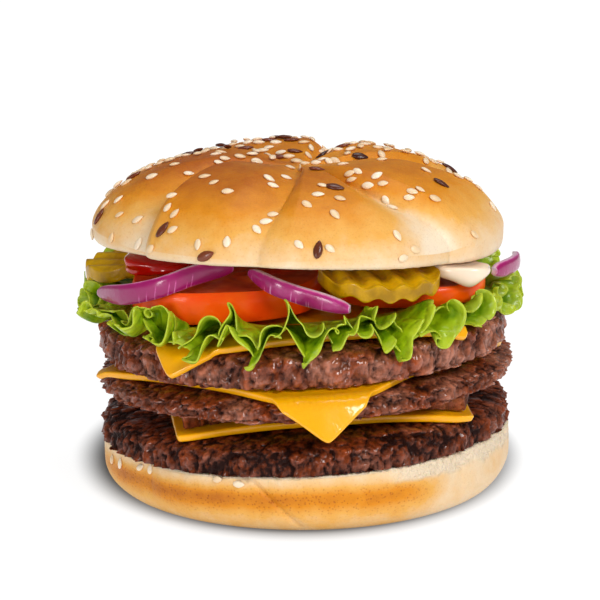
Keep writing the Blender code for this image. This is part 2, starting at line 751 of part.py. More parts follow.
def main():
    for old in list(bpy.data.objects):
        bpy.data.objects.remove(old)
    build_heel()
    for name in PATTIES:
        build_patty(name)
    for name in CHEESES:
        build_cheese(name)
    build_lettuce()
    for name in TOMATOES:
        add_tomato(name, TOMATOES[name])
    for name in PICKLES:
        build_pickle(name)
    for name in ONIONS:
        build_onion(name)
    build_mayonnaise()
    build_crown()
    for piece in bpy.context.scene.objects:
        settle(piece)
    stand_on_origin()


main()
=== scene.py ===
import math
import random

import bpy
import numpy as np
from mathutils import Euler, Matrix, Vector, noise
from mathutils.bvhtree import BVHTree


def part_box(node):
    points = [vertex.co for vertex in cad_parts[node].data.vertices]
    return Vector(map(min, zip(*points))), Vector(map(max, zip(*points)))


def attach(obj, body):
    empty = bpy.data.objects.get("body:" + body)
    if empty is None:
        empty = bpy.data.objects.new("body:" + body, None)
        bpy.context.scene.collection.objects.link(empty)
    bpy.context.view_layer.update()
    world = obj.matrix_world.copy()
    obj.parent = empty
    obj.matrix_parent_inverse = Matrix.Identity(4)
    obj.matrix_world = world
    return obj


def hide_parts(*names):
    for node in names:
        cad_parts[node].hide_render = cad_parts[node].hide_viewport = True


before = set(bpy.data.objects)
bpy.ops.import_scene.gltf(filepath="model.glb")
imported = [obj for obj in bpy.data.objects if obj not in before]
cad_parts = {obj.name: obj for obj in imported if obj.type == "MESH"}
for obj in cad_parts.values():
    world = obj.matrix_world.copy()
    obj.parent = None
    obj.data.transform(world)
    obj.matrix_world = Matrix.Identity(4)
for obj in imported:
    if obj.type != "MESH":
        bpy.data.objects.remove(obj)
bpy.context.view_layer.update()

bl_info = {
    "name": "Triple cheeseburger",
    "version": (1, 0, 0),
    "blender": (4, 5, 0),
    "location": "3D View > Sidebar > Burger",
    "description": "Dresses a triple cheeseburger: crust, seeds, beef, cheese, salad and sauces",
    "category": "Object",
}


def mm(*values):
    """Millimetres as metres: one number, or several as a tuple."""
    scaled = tuple(value * 0.001 for value in values)
    return scaled[0] if len(scaled) == 1 else scaled


def linear(code):
    """An sRGB hex colour as linear red, green, blue and alpha."""
    parts = [int(code[i : i + 2], 16) / 255 for i in (1, 3, 5)]
    return tuple(p / 12.92 if p <= 0.04045 else ((p + 0.055) / 1.055) ** 2.4 for p in parts) + (1,)


# Sizes that the model of the stack shares with its frame
GAP = mm(0.35)
BUN_RADIUS = mm(57.5)
HEEL_HEIGHT = mm(17)
PATTY_THICKNESS = mm(10)
CHEESE_SIDE = mm(80.5)
CHEESE_THICKNESS = mm(2.1)
LEAF_THICKNESS = mm(1.2)
CROWN_UNDERSIDE = mm(71)
CROWN_WIDEST = mm(75.8)
CROWN_APEX = mm(96.2)
PATTY_STEP = PATTY_THICKNESS + CHEESE_THICKNESS + 2 * GAP
LOWER_PATTY_BASE = HEEL_HEIGHT + GAP
MIDDLE_PATTY_BASE = LOWER_PATTY_BASE + PATTY_STEP
UPPER_PATTY_BASE = MIDDLE_PATTY_BASE + PATTY_STEP
LEAF_BASE = UPPER_PATTY_BASE + PATTY_STEP
SALAD_BASE = LEAF_BASE + LEAF_THICKNESS + GAP
LEAN = 0.045

# The roll's creases: azimuth at the rim, turn on the way to the hub, and depth beside the others
CREASES = (
    (-139, -26, 1.25), (-101, 20, 0.6), (-42, -42, 0.85), (20, -24, 1), (85, -20, 0.8), (150, -24, 0.4),
)
TORN_CREASE = 2
LOBE_LIFT = mm(1.4, 0.8, 1.4, 0.3, 0.6, -0.3)
LOBE_DEPTH = mm(4.6)
RIM_NOTCH = mm(3.6)
HUB_DEPTH = mm(4.7)
HUB_REACH = 0.3
RIM_DROOP = mm(2.5)
CUT_RISE = mm(2.6)
CUT_RISES_TO = math.radians(-125)
CROWN_CENTRE = mm(-1.2, 0)
HEEL_CENTRE = mm(1.3, 0)
FOOT_SWELL = math.radians(-135)

# Bake and tearing of the cut crumb, the heel's browned band with its reach above and below, and its fold
CRUMB_BAKE = 0.02
CUT_TORN = 0.8
BAND_HEIGHT = mm(10.4)
BAND_REACH = mm(3.3, 4.5)
FOLD_AT = 97

# The patties' section, the depth to which their rims sag, and the slices' distance from them where they hang
WIDEST_SHARE = 0.42
TOP_SQUARENESS = 2.8
BASE_SQUARENESS = 4.5
RIM_SAG = mm(4)
STANDOFF = mm(1.8)
PATTY_KEYS = ("lies_on", "base", "radius", "centre", "seed", "rosy")
PATTIES = {
    "lower": dict(zip(PATTY_KEYS, (None, LOWER_PATTY_BASE, mm(58.2), mm(0.8, -0.8), 3, -0.1))),
    "middle": dict(zip(PATTY_KEYS, ("lower", MIDDLE_PATTY_BASE, mm(58.8), mm(1.1, 0), 17, 0))),
    "upper": dict(zip(PATTY_KEYS, ("middle", UPPER_PATTY_BASE, mm(58), mm(0.3, 0), 29, 0.03))),
}
CHEESES = {
    "lower": {"middle": mm(2, -2.4), "turn": 6, "slope": 70},
    "middle": {"middle": mm(0.4, -12.8), "turn": 52, "slope": 68},
    "upper": {"middle": mm(-2.6, -9.2), "turn": 9, "slope": 68},
}

# Round slices: middle, half sizes, base height, thickness and tilt about X and Y in degrees
TOMATOES = {
    "tomato_front_left": (mm(-20.5, -23), mm(26, 20.5), SALAD_BASE, mm(8), (2, -1)),
    "tomato_front_right": (mm(29.5, -14), mm(21, 21.5), SALAD_BASE, mm(6), (1, 1)),
    "tomato_back_left": (mm(-21, 26.5), mm(22, 21.5), SALAD_BASE, mm(6.5), (0, -1)),
    "tomato_back_right": (mm(22, 30), mm(21, 20.5), SALAD_BASE, mm(6), (-1, 1)),
}
# The gherkins' last value is the turn of their ridges
GHERKINS = {
    "pickle_front": (mm(20.4, -37.5), mm(16.5, 15), mm(64.1), mm(5.3), (5, 3), 0.2),
    "pickle_left": (mm(-49, 3), mm(12, 12.2), mm(61.2), mm(4.4), (2, -7), 1.1),
    "pickle_back": (mm(-10, 40), mm(15.5, 14.5), mm(64.4), mm(4.8), (-3, 0), 1.4),
}
CRINKLE_HEIGHT = mm(1.4)
CRINKLE_LENGTH = mm(6.6)
ONION_LEFT = (
    (-55, -23, 61.4), (-47.8, -35.8, 63.2), (-38.5, -42.6, 66), (-28, -41.9, 69.2), (-19, -37.5, 70),
)
ONION_CENTRE = (
    (-13.5, -37.5, 68.5), (-8, -46.2, 67.1), (-0.9, -48.6, 64.9), (6.1, -51.5, 63.4), (12.6, -53.4, 61.8),
)
ONION_RIGHT = ((52.5, -20, 64), (56, -15, 63.7), (59.2, -7, 63.4), (59.8, 3, 63.2))
ONION_BACK = ((8, 53.5, 65.5), (20, 56, 65.3), (35, 50.5, 65.1), (45, 38, 64.9))
ONIONS = {
    "onion_left": (ONION_LEFT, mm(5.2)),
    "onion_centre": (ONION_CENTRE, mm(4.9)),
    "onion_right": (ONION_RIGHT, mm(5.4)),
    "onion_back": (ONION_BACK, mm(4.6)),
}
ONION_WALL = mm(2.2)
# How deep each strip's purple is
ONION_DEPTHS = (1, 0.72, 1, 0.85)

# Sauces: middle and half sizes, and where along X the mayonnaise hangs lowest
MAYONNAISE = (mm(43.2, -30.3, 67.6), mm(7.6, 6.5, 5.3))
KETCHUP = (mm(-38.5, -15, 66.6), mm(11.5, 9.5, 3))
DROP_AT = mm(45.2)

# The leaf: its middle, and how far it may reach along X, along Y and up
LEAF_MIDDLE = mm(-2, -1)
LEAF_REACH = mm(61.8, 61.1)
FRILL_TOP = mm(66.5)

# How low the frill hangs round the stack: azimuth in degrees and height in millimetres
FRILL_FOOT = (
    (-180, 56), (-160, 57), (-140, 57.4), (-126, 55), (-118, 51.5), (-108, 49.2), (-97, 49),
    (-90, 49.4), (-80, 48.4), (-70, 49), (-58, 48), (-40, 48.2), (-25, 49), (0, 51.5),
    (30, 51), (60, 49.5), (90, 50.5), (120, 49.5), (150, 52), (180, 56),
)

# The camera: it looks along +Y, a little down, at the middle of the stack
AIM = mm(-0.6, 0, 52.3)
CAMERA_DISTANCE = 0.85
CAMERA_ELEVATION = math.radians(13)
FOCAL_PIXELS = 3017
PICTURE = 600

# The floor, and in millimetres how far the middle of its shaded patch is behind the stack, and its half sizes
FLOOR_SIDE = 8.0
PATCH_BEHIND = 32
PATCH_HALF = (65, 88)

# Softboxes: place and side in metres
SOFTBOXES = {
    "key": ((0.55, -0.85, 0.75), 0.4),
    "fill": ((-0.6, -0.95, 0.2), 0.28),
    "top": ((0.1, 0.15, 1.1), 0.6),
}

# Seeds that the photograph shows: pixel across, pixel down, and the seed's turn in degrees
FLAX_IN_VIEW = (
    (318, 250, 80), (163, 230, 60), (100, 217, 65), (188, 149, 30), (246, 149, 20), (279, 158, -30),
    (295, 152, -10), (317, 170, 8), (335, 188, -40), (360, 157, -5), (343, 143, -10), (441, 184, -70),
    (449, 169, -40), (134, 177, 50), (269, 139, 10), (292, 141, 0), (206, 256, 20),
)
SESAME_IN_VIEW = (
    (143, 170, 15), (160, 164, 30), (175, 165, 20), (152, 177, 25), (127, 183, 10), (119, 200, 10),
    (106, 205, 50), (120, 215, -10), (138, 220, 0), (93, 234, 80), (112, 238, 70), (139, 244, 80),
    (233, 143, 0), (240, 147, -20), (259, 143, -50), (263, 151, 0), (269, 148, 0), (276, 143, 20),
    (221, 153, 20), (216, 155, 10), (225, 159, 20), (219, 163, 0), (240, 157, -10), (257, 162, 0),
    (189, 174, 10), (205, 177, -10), (214, 183, 20), (228, 192, 0), (172, 196, 0), (168, 208, 65),
    (175, 214, 65), (173, 230, 10), (151, 249, 30), (198, 245, -80), (227, 242, 90), (269, 179, -60),
    (273, 186, -40), (286, 178, 10), (281, 153, -45), (289, 157, 0), (290, 168, -30), (296, 161, -30),
    (273, 215, -5), (266, 222, 0), (257, 230, -60), (180, 153, 45), (186, 154, 0), (205, 146, 5),
    (318, 195, -30), (340, 199, -50), (323, 186, 0), (307, 205, -60), (335, 215, -70), (350, 174, 10),
    (358, 172, -50), (352, 180, 15), (368, 186, -10), (377, 176, 45), (383, 184, -5), (382, 160, 10),
    (338, 148, 0), (378, 148, -50), (388, 149, -30), (426, 171, -15), (412, 192, -30), (420, 190, -55),
    (409, 198, 0), (435, 199, 0), (386, 201, -60), (392, 208, -30), (397, 236, -80), (403, 258, 0),
    (415, 250, 0), (299, 245, -55), (330, 249, -40), (474, 235, -5), (492, 207, -70), (478, 184, -50),
    (468, 176, -35), (458, 167, -20), (433, 158, -10), (343, 165, -20), (329, 162, -60), (316, 163, 0),
    (308, 156, 0), (301, 170, 20), (297, 162, -30), (305, 164, 40), (335, 161, -30), (322, 160, 0),
    (343, 139, 10), (353, 140, 5), (365, 139, -5), (304, 143, -10), (325, 143, 0), (248, 139, 5),
)
# Seeds that strayed onto the heel's side
STRAYS_IN_VIEW = (
    (113, 459, 70), (121, 463, 80), (141, 467, 20), (151, 469, 70), (218, 479, 10), (239, 484, 0),
)
SESAME = mm(3.3, 2.1, 1.0)
FLAX = mm(4.9, 2.5, 1.2)


def ease(low, high, value):
    """0 below low, 1 above high, and smooth between them."""
    share = np.clip((value - low) / (high - low), 0, 1)
    return share * share * (3 - 2 * share)


def stack_shift():
    """How far the whole stack stands from its own axis, read from a slice whose place in it is known."""
    low, high = (np.array(corner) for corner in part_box("tomato_front_right"))
    shift = (low + high) / 2 - np.array([*TOMATOES["tomato_front_right"][0], 0])
    return np.array([shift[0], shift[1], 0])


SHIFT = stack_shift()


def settle(points):
    """Gives points of the upright stack its lean and its place, as in the frame."""
    points = np.array(points, float)
    height = points[..., 2]
    salad = np.clip((height - LEAF_BASE) / (CROWN_UNDERSIDE - LEAF_BASE), 0, 1)
    share = np.minimum(1, height / HEEL_HEIGHT) * (1 - salad)
    points[..., 2] = height + LEAN * points[..., 0] * share
    return points + SHIFT


def polar(radius, azimuth, height, centre=(0, 0)):
    """Points at azimuths in radians round an upright axis."""
    x = centre[0] + radius * np.cos(azimuth)
    y = centre[1] + radius * np.sin(azimuth)
    return np.stack(np.broadcast_arrays(x, y, height), axis=-1)


def swell(points, size, seed=0):
    """Smooth noise from -1 to 1 over points, with lumps about as wide as size."""
    flat = points.reshape(-1, 3) / size + seed * 7.3
    values = [noise.noise(Vector(p)) for p in flat]
    return np.array(values).reshape(points.shape[:-1])


def granules(points, size, seed=0):
    """Rounded lumps packed side by side: 1 at the top of each lump, 0 in the clefts between them."""
    flat = points.reshape(-1, 3) / size + seed * 5.1
    near = np.array([noise.voronoi(Vector(p))[0][:2] for p in flat])
    lump = 1 - np.clip(near[:, 0] / 0.8, 0, 1) ** 2
    cleft = ease(0, 0.25, near[:, 1] - near[:, 0])
    return (lump * (0.35 + 0.65 * cleft)).reshape(points.shape[:-1])


# Meshes and materials

def add_object(name, data):
    """A new object in the scene."""
    made = bpy.data.objects.new(name, data)
    bpy.context.scene.collection.objects.link(made)
    return made


def add_piece(name, points, faces, material, nodes=(), paint=None, sharp=None):
    """A piece of the burger that rides on its one body, with any per-point values its material reads."""
    mesh = bpy.data.meshes.new(name)
    mesh.from_pydata(np.asarray(points).reshape(-1, 3).tolist(), [], faces)
    mesh.validate()
    mesh.update()
    mesh.shade_smooth()
    if sharp is not None:
        mesh.set_sharp_from_angle(angle=math.radians(sharp))
    for label, values in (paint or {}).items():
        layer = mesh.attributes.new(label, "FLOAT", "POINT")
        layer.data.foreach_set("value", np.asarray(values, float).ravel())
    mesh.materials.append(material)
    made = add_object(name, mesh)
    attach(made, "root")
    if nodes:
        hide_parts(*nodes)
    return made


def once_round(steps, start=-math.pi):
    """Even azimuths, once round."""
    return np.linspace(start, start + 2 * math.pi, steps, endpoint=False)


def with_tips(values, low, high):
    """Values over rings, followed by those of the points that cap them."""
    return np.concatenate([np.ravel(values), [low, high]])


def ring_faces(rings, count, capped=True):
    """Faces over rings of count points, with a fan at each end to a point that follows the rings."""
    faces = []
    for row in range(rings - 1):
        for i in range(count):
            j = (i + 1) % count
            a, b = row * count, (row + 1) * count
            faces.append((a + i, a + j, b + j, b + i))
    if capped:
        low_tip, last = rings * count, (rings - 1) * count
        for i in range(count):
            j = (i + 1) % count
            faces.append((j, i, low_tip))
            faces.append((last + i, last + j, low_tip + 1))
    return faces


def capped_rings(rings, low_tip, high_tip):
    """Points and faces of a closed solid through rings of shape (rows, columns, 3)."""
    points = np.concatenate([rings.reshape(-1, 3), [low_tip], [high_tip]])
    return points, ring_faces(rings.shape[0], rings.shape[1])


def sheet_faces(rows, columns, over):
    """Faces of a thin solid between two grids of points, where the upper grid starts at point over."""
    faces = []
    for i in range(rows - 1):
        for j in range(columns - 1):
            a = i * columns + j
            b, c, d = a + columns, a + columns + 1, a + 1
            faces.append((a, d, c, b))
            faces.append((over + a, over + b, over + c, over + d))
    rim = [(i, 0) for i in range(rows)] + [(rows - 1, j) for j in range(1, columns)]
    rim += [(i, columns - 1) for i in range(rows - 2, -1, -1)] + [(0, j) for j in range(columns - 2, 0, -1)]
    for (i, j), (k, m) in zip(rim, rim[1:] + rim[:1]):
        a, b = i * columns + j, k * columns + m
        faces.append((a, b, over + b, over + a))
    return faces


def add_node(tree, kind, inputs=None, stops=None, **settings):
    """Adds a node with its settings, then links or sets its inputs."""
    made = tree.nodes.new(kind)
    for key, value in settings.items():
        setattr(made, key, value)
    if stops:
        ramp = made.color_ramp.elements
        while len(ramp) < len(stops):
            ramp.new(1)
        for element, (place, colour) in zip(ramp, stops):
            element.position = place
            element.color = colour
    for key, value in (inputs or {}).items():
        if isinstance(value, bpy.types.NodeSocket):
            tree.links.new(value, made.inputs[key])
        else:
            made.inputs[key].default_value = value
    return made


class Surface:
    """A material with a Principled shader, and short calls for the nodes that the burger's surfaces share."""

    def __init__(self, name, soak=None, **sockets):
        """The shader's constants, and soak: how light spreads inside, as weight, colour and millimetres."""
        self.material = bpy.data.materials.new(name)
        self.material.use_nodes = True
        self.tree = self.material.node_tree
        self.shader = self.tree.nodes["Principled BSDF"]
        if soak:
            keys = ("Subsurface_Weight", "Subsurface_Radius", "Subsurface_Scale")
            sockets |= dict(zip(keys, (soak[0], soak[1], mm(soak[2]))))
        for label, value in sockets.items():
            self.shader.inputs[label.replace("_", " ")].default_value = value
        self.place = add_node(self.tree, "ShaderNodeTexCoord").outputs["Object"]

    def link(self, **sockets):
        """Links values to the shader's sockets."""
        for label, value in sockets.items():
            self.tree.links.new(value, self.shader.inputs[label.replace("_", " ")])

    def painted(self, label):
        """A value that the piece holds at each of its points."""
        return add_node(self.tree, "ShaderNodeAttribute", attribute_name=label).outputs["Fac"]

    def cloud(self, size, detail, **inputs):
        """Noise whose patches are about as wide as size, in millimetres."""
        inputs |= {"Vector": self.place, "Scale": 1 / mm(size), "Detail": detail}
        return add_node(self.tree, "ShaderNodeTexNoise", inputs).outputs["Fac"]

    def cells(self, size, **settings):
        """Distance from the middle of cells about as wide as size, in millimetres."""
        inputs = {"Vector": self.place, "Scale": 1 / mm(size)}
        return add_node(self.tree, "ShaderNodeTexVoronoi", inputs, **settings).outputs["Distance"]

    def spread(self, value, low, high, to_low=0, to_high=1, **settings):
        """A value's stretch from low to high, spread from to_low to to_high."""
        inputs = {"Value": value, "From Min": low, "From Max": high, "To Min": to_low, "To Max": to_high}
        return add_node(self.tree, "ShaderNodeMapRange", inputs, **settings).outputs["Result"]

    def times(self, value, factor):
        """The product of two values."""
        return add_node(self.tree, "ShaderNodeMath", {0: value, 1: factor}, operation="MULTIPLY").outputs[0]

    def plus(self, value, added, factor=1):
        """A value with another added to it, times a factor."""
        inputs = {0: added, 1: factor, 2: value}
        return add_node(self.tree, "ShaderNodeMath", inputs, operation="MULTIPLY_ADD").outputs[0]

    def uneven(self, value, cloud, amount):
        """A value that a cloud moves up and down."""
        middled = add_node(self.tree, "ShaderNodeMath", {0: cloud, 1: 0.5}, operation="SUBTRACT").outputs[0]
        return self.plus(value, middled, amount)

    def mix(self, share, first, second, **settings):
        """The first colour where share is 0 and the second where it is 1."""
        inputs = {0: share, 6: first, 7: second}
        return add_node(self.tree, "ShaderNodeMix", inputs, data_type="RGBA", **settings).outputs[2]

    def ramp(self, value, *stops):
        """The colour that a value has on a ramp of places and colours."""
        return add_node(self.tree, "ShaderNodeValToRGB", {"Fac": value}, stops=stops).outputs["Color"]

    def bump(self, height, depth, strength, *sockets):
        """Relief of a depth in millimetres, on the shader's normal or on the sockets given."""
        inputs = {"Height": height, "Distance": mm(depth), "Strength": strength}
        normal = add_node(self.tree, "ShaderNodeBump", inputs).outputs["Normal"]
        for socket in sockets or ("Normal",):
            self.link(**{socket: normal})


def shade_of(colour, factors):
    """A colour with its red, green and blue multiplied."""
    return tuple(min(1, part * factor) for part, factor in zip(colour[:3], factors)) + (1,)


def colour_setting(name, description, code):
    """A colour that can be changed in the sidebar."""
    return bpy.props.FloatVectorProperty(
        name=name, description=description, default=linear(code), size=4, subtype="COLOR"
    )


def power_setting(name, description, watts):
    """A softbox's power, which can be changed in the sidebar."""
    return bpy.props.FloatProperty(name=name, description=description, default=watts, unit="POWER")


class RollLooks(bpy.types.PropertyGroup):
    """Colours and seeds of the roll."""

    top: colour_setting("Top", "Deepest bake, on top of the lobes", "#B25C08")
    golden: colour_setting("Golden", "Deep golden bake", "#DE8C18")
    honey: colour_setting("Honey", "Light golden bake", "#E9AD54")
    pale: colour_setting("Pale", "Hardly baked rim", "#EDC999")
    crumb: colour_setting("Crumb", "Cut inside of the roll", "#F1DDC0")
    strewn: bpy.props.IntProperty(
        name="Strewn seeds", description="Seeds strewn over the back of the crown", default=130, min=0
    )


class FillingLooks(bpy.types.PropertyGroup):
    """Colours of the beef and the cheese."""

    # Painted shade: the near-black that fills the beef's clefts
    seared: colour_setting("Seared_shade", "Clefts of the beef", "#240903")
    beef: colour_setting("Beef", "Lumps of the beef", "#A0461A")
    pink: colour_setting("Pink beef", "Less browned lumps", "#C2775A")
    cheese: colour_setting("Cheese", "Processed cheese", "#FFB400")
    crag: bpy.props.FloatProperty(
        name="Crag depth", description="Deepest clefts in a patty's rim", default=mm(3), unit="LENGTH"
    )


class SaladLooks(bpy.types.PropertyGroup):
    """Colours of the leaf, tomato, gherkin, onion and sauces."""

    leaf: colour_setting("Leaf", "Body of the leaf", "#9AB40C")
    # Partly a painted highlight along the thin edge of the frill
    leaf_edge: colour_setting("Leaf edge", "Thin edge of the frill", "#BFCB34")
    tomato: colour_setting("Tomato skin", "Skin of the tomato", "#F84802")
    gherkin: colour_setting("Gherkin", "Flesh of the gherkin", "#F4C400")
    gherkin_skin: colour_setting("Gherkin skin", "Skin of the gherkin", "#CC9C00")
    onion: colour_setting("Onion skin", "Outside of the onion", "#9C0A60")
    mayonnaise: colour_setting("Mayonnaise", "Tinted mayonnaise", "#FBE3CB")
    ketchup: colour_setting("Ketchup", "Tomato ketchup", "#C40A02")


class StageLooks(bpy.types.PropertyGroup):
    """The studio round the burger."""

    key: power_setting("Key", "Softbox at the right", 8.5)
    fill: power_setting("Fill", "Low softbox at the left", 3.2)
    top: power_setting("Top", "Softbox overhead", 4)
    room: bpy.props.FloatProperty(name="Room", description="Brightness of the white room", default=0.2)


# The roll

def crease_depth(azimuth, reach):
    """How deep a crease is at azimuths in degrees, and the number of the lobe there."""
    starts = np.stack([rim + turn * (1 - reach) + 0 * azimuth for rim, turn, _ in CREASES])
    starts = np.concatenate([starts, starts[:1] + 360])
    around = (azimuth - starts[0]) % 360 + starts[0]
    lobe = (around >= starts[:-1]).sum(axis=0) - 1
    before = np.take_along_axis(starts, lobe[None], axis=0)[0]
    after = np.take_along_axis(starts, lobe[None] + 1, axis=0)[0]
    share = (around - before) / (after - before)
    depths = np.array([depth for _, _, depth in CREASES])
    steep = depths[lobe] * (1 - np.minimum(1, share / 0.14) ** 0.5)
    gentle = depths[(lobe + 1) % len(CREASES)] * 0.85 * ease(0.62, 1, share)
    return np.maximum(steep, gentle), lobe


def crown_surface(azimuth, reach):
    """Points on the crown's top, and how deep in a crease each one is."""
    depth, lobe = crease_depth(np.degrees(azimuth), reach)
    dome = np.maximum(0, 1 - reach**2.2) ** 0.6
    height = CROWN_WIDEST + (CROWN_APEX - CROWN_WIDEST) * dome
    height = height - LOBE_DEPTH * depth * ease(0, 0.3, reach) * (1 - 0.6 * ease(0.7, 1, reach))
    lift = np.array(LOBE_LIFT)[lobe] * np.maximum(0, 1 - depth)
    height = height + lift * ease(0.2, 0.6, reach) * (1 - ease(0.8, 1, reach))
    height = height - HUB_DEPTH * np.exp(-((reach / HUB_REACH) ** 2))
    height = height - 0.3 * RIM_DROOP * np.cos(azimuth) ** 2 * ease(0.85, 1, reach)
    radius = (BUN_RADIUS - RIM_NOTCH * depth * ease(0.65, 1, reach)) * reach
    return polar(radius, azimuth, height, CROWN_CENTRE), depth


def crown_underside(azimuth, share):
    """Height of the crown's cut face: a hardly tilted plane whose lip droops at the left and right."""
    rise = CUT_RISE * np.cos(azimuth - CUT_RISES_TO) * share
    return CROWN_UNDERSIDE + rise - RIM_DROOP * np.cos(azimuth) ** 2 * ease(0.88, 0.97, share)


def under_crown(points):
    """Height of the crown's cut face over points."""
    x, y = points[:, 0] - CROWN_CENTRE[0], points[:, 1]
    azimuth = np.arctan2(y, x)
    rim, _ = crown_surface(azimuth, np.ones(len(points)))
    return crown_underside(azimuth, np.hypot(x, y) / np.hypot(rim[:, 0] - CROWN_CENTRE[0], rim[:, 1]))


def crust_material(name, looks, pore_depth):
    """Milk-glazed wheat crust: satin, darkest on top, with pits in it that hold painted shade, and dry crumb
    where it is torn.
    """
    crust = Surface(
        name, soak=(0.1, (1, 0.5, 0.2), 1.5), Roughness=0.48, IOR=1.4, Specular_IOR_Level=0.3,
        Coat_Weight=0.04, Coat_Roughness=0.25,
    )
    torn = crust.painted("torn")
    bake = crust.uneven(crust.painted("bake"), crust.cloud(7, 6, Roughness=0.62), 0.42)
    stops = zip((0, 0.2, 0.42, 0.68, 1), (looks.crumb, looks.pale, looks.honey, looks.golden, looks.top))
    # Pits 0.4 mm wide and 0.9 mm apart, darkened inside towards the top brown as painted shade, most where
    # the crust is browned
    pitted = crust.times(crust.spread(crust.cells(0.9), 0.12, 0.36, 1, 0), crust.painted("pits"))
    baked = crust.mix(pitted, crust.ramp(bake, *stops), looks.top, blend_type="MULTIPLY")
    crust.link(Base_Color=crust.mix(torn, baked, looks.crumb))
    # Pores 0.5 mm wide over a skin that wrinkles every 2 mm, and flakes 1 mm wide where it is torn
    fine = crust.plus(crust.cloud(0.5, 3), crust.cloud(2, 4), 1.6)
    flaky = crust.plus(fine, crust.times(crust.cloud(1, 5, Distortion=0.6), torn), 7)
    crust.bump(crust.plus(flaky, pitted, -1.5), pore_depth, 0.9)
    return crust.material


class BURGER_OT_crown(bpy.types.Operator):
    """Makes the lobed top half of the roll."""

    bl_idname = "burger.crown"
    bl_label = "Crown"

    def execute(self, context):
        looks = context.scene.burger_roll
        steps, lip_rows, dome_rows = 600, 22, 140
        azimuth = once_round(steps)
        middle = np.array(CROWN_CENTRE)
        rim, _ = crown_surface(azimuth, np.ones(steps))
        rings, bakes, torns = [], [], []
        # Share of the outline and of the height to the rim, over the cut face and round its lip
        profile = [(share, 0) for share in (0.25, 0.5, 0.7, 0.82)]
        flat_rows = len(profile)
        for angle in np.linspace(0, math.pi / 2, lip_rows):
            profile.append((0.88 + 0.12 * math.sin(angle) ** 0.5, 1 - math.cos(angle) ** 0.5))
        for share, lift in profile:
            ring = rim.copy()
            ring[:, :2] = middle + (rim[:, :2] - middle) * share
            low = crown_underside(azimuth, share)
            ring[:, 2] = low + (rim[:, 2] - low) * lift
            rings.append(ring)
            bakes.append(np.full(steps, CRUMB_BAKE + 0.2 * ease(0, 1, lift)))
            torns.append(np.full(steps, CUT_TORN * (1 - ease(0.05, 0.22, lift))))
        hinge, twist, _ = CREASES[TORN_CREASE]
        for reach in np.sin(np.linspace(math.pi / 2, 0.03, dome_rows))[1:]:
            ring, depth = crown_surface(azimuth, np.full(steps, reach))
            rings.append(ring)
            rise = (ring[:, 2] - CROWN_WIDEST) / (CROWN_APEX - CROWN_WIDEST)
            # Painted light and shade: the crust is paler towards the front right, where the key light falls,
            # and browner towards the back left
            side = 0.5 + 0.5 * np.cos(azimuth - math.radians(-20))
            bake = 0.34 - 0.15 * side + 0.58 * ease(-0.15, 0.85, rise) ** 1.1 * (1 - 0.16 * side)
            bake += 0.12 * math.exp(-((reach - 0.55) / 0.25) ** 2)
            bake -= 0.25 * np.minimum(1, depth) ** 1.5 + 0.12 * ease(0, 0.3, np.sin(azimuth) * reach)
            # The skin broke open beside the crease at the front right
            turn = np.degrees(azimuth) - (hinge + twist * (1 - reach))
            broken = np.exp(-((turn + 2) / 2.5) ** 2) * ease(0.4, 0.7, reach)
            torns.append(0.35 * broken * ease(-0.35, 0.25, swell(ring, mm(3), 12)))
            bakes.append(bake - 0.2 * np.exp(-((turn + 7) / 7) ** 2) * ease(0.45, 0.85, reach))
        rings, bakes, torns = np.array(rings), np.array(bakes), np.array(torns)
        outward = rings - np.array([*CROWN_CENTRE, CROWN_UNDERSIDE])
        outward /= np.linalg.norm(outward, axis=-1, keepdims=True)
        grown = ease(0, 1, np.linspace(-0.4, 2.4, len(rings)))[:, None]
        soft = swell(rings, mm(15), 1) * mm(0.4) + swell(rings, mm(5), 4) * mm(0.12) - mm(0.3)
        flaky = -np.abs(swell(rings, mm(1.6), 6)) * mm(0.9) * torns
        rings = rings + outward * ((soft + flaky) * grown)[..., None]
        rows = slice(flat_rows, len(profile))
        lip = rings[rows]
        edge = np.sin(np.linspace(0, math.pi, lip_rows))[:, None] ** 0.5
        lip[..., 2] += (np.abs(swell(lip, mm(2.4), 2)) * mm(0.7) + mm(0.05)) * edge * torns[rows]
        low = np.array([*CROWN_CENTRE, CROWN_UNDERSIDE])
        points, faces = capped_rings(rings, low, rings[-1].mean(axis=0))
        paint = {
            "bake": with_tips(bakes, CRUMB_BAKE, 0.7),
            "torn": with_tips(torns, CUT_TORN, 0),
            # Painted shade in the pits, weak all over the crown
            "pits": np.full(len(points), 0.12),
        }
        material = crust_material("Baked milk-glazed crust", looks, 0.1)
        add_piece("roll_crown", settle(points), faces, material, ["crown"], paint)
        return {"FINISHED"}


def seed_mesh(size, rounds=10, steps=8):
    """Points and faces of a seed that lies along X, pointed at one end."""
    rings = []
    for i in range(1, steps):
        angle = math.pi * i / steps
        along, width = -math.cos(angle), math.sin(angle)
        width *= 1 - 0.42 * max(0, along) ** 1.3
        turns = once_round(rounds, 0)
        ring = np.stack([np.full(rounds, along), width * np.cos(turns), width * np.sin(turns)], axis=-1)
        rings.append(ring * np.array(size) / 2)
    rings = np.array(rings)
    return capped_rings(rings, (-size[0] / 2, 0, 0), (size[0] / 2, 0, 0))


def lay_seed(shape, spot, facing, turn, draw):
    """A seed's points, laid on a surface with a random small tilt and size."""
    normal = Vector(facing).normalized()
    basis = normal.to_track_quat("Z", "Y")
    tilt = Euler((draw.uniform(-0.2, 0.2), draw.uniform(-0.16, 0.16), turn))
    size = draw.uniform(0.86, 1.1)
    turned = np.array((basis.to_matrix() @ tilt.to_matrix()) * size)
    return shape @ turned.T + np.array(spot)


def camera_place():
    """Where the camera stands, in the frame."""
    back = Vector((0, -math.cos(CAMERA_ELEVATION), math.sin(CAMERA_ELEVATION)))
    return Vector(AIM) + Vector(SHIFT) + CAMERA_DISTANCE * back


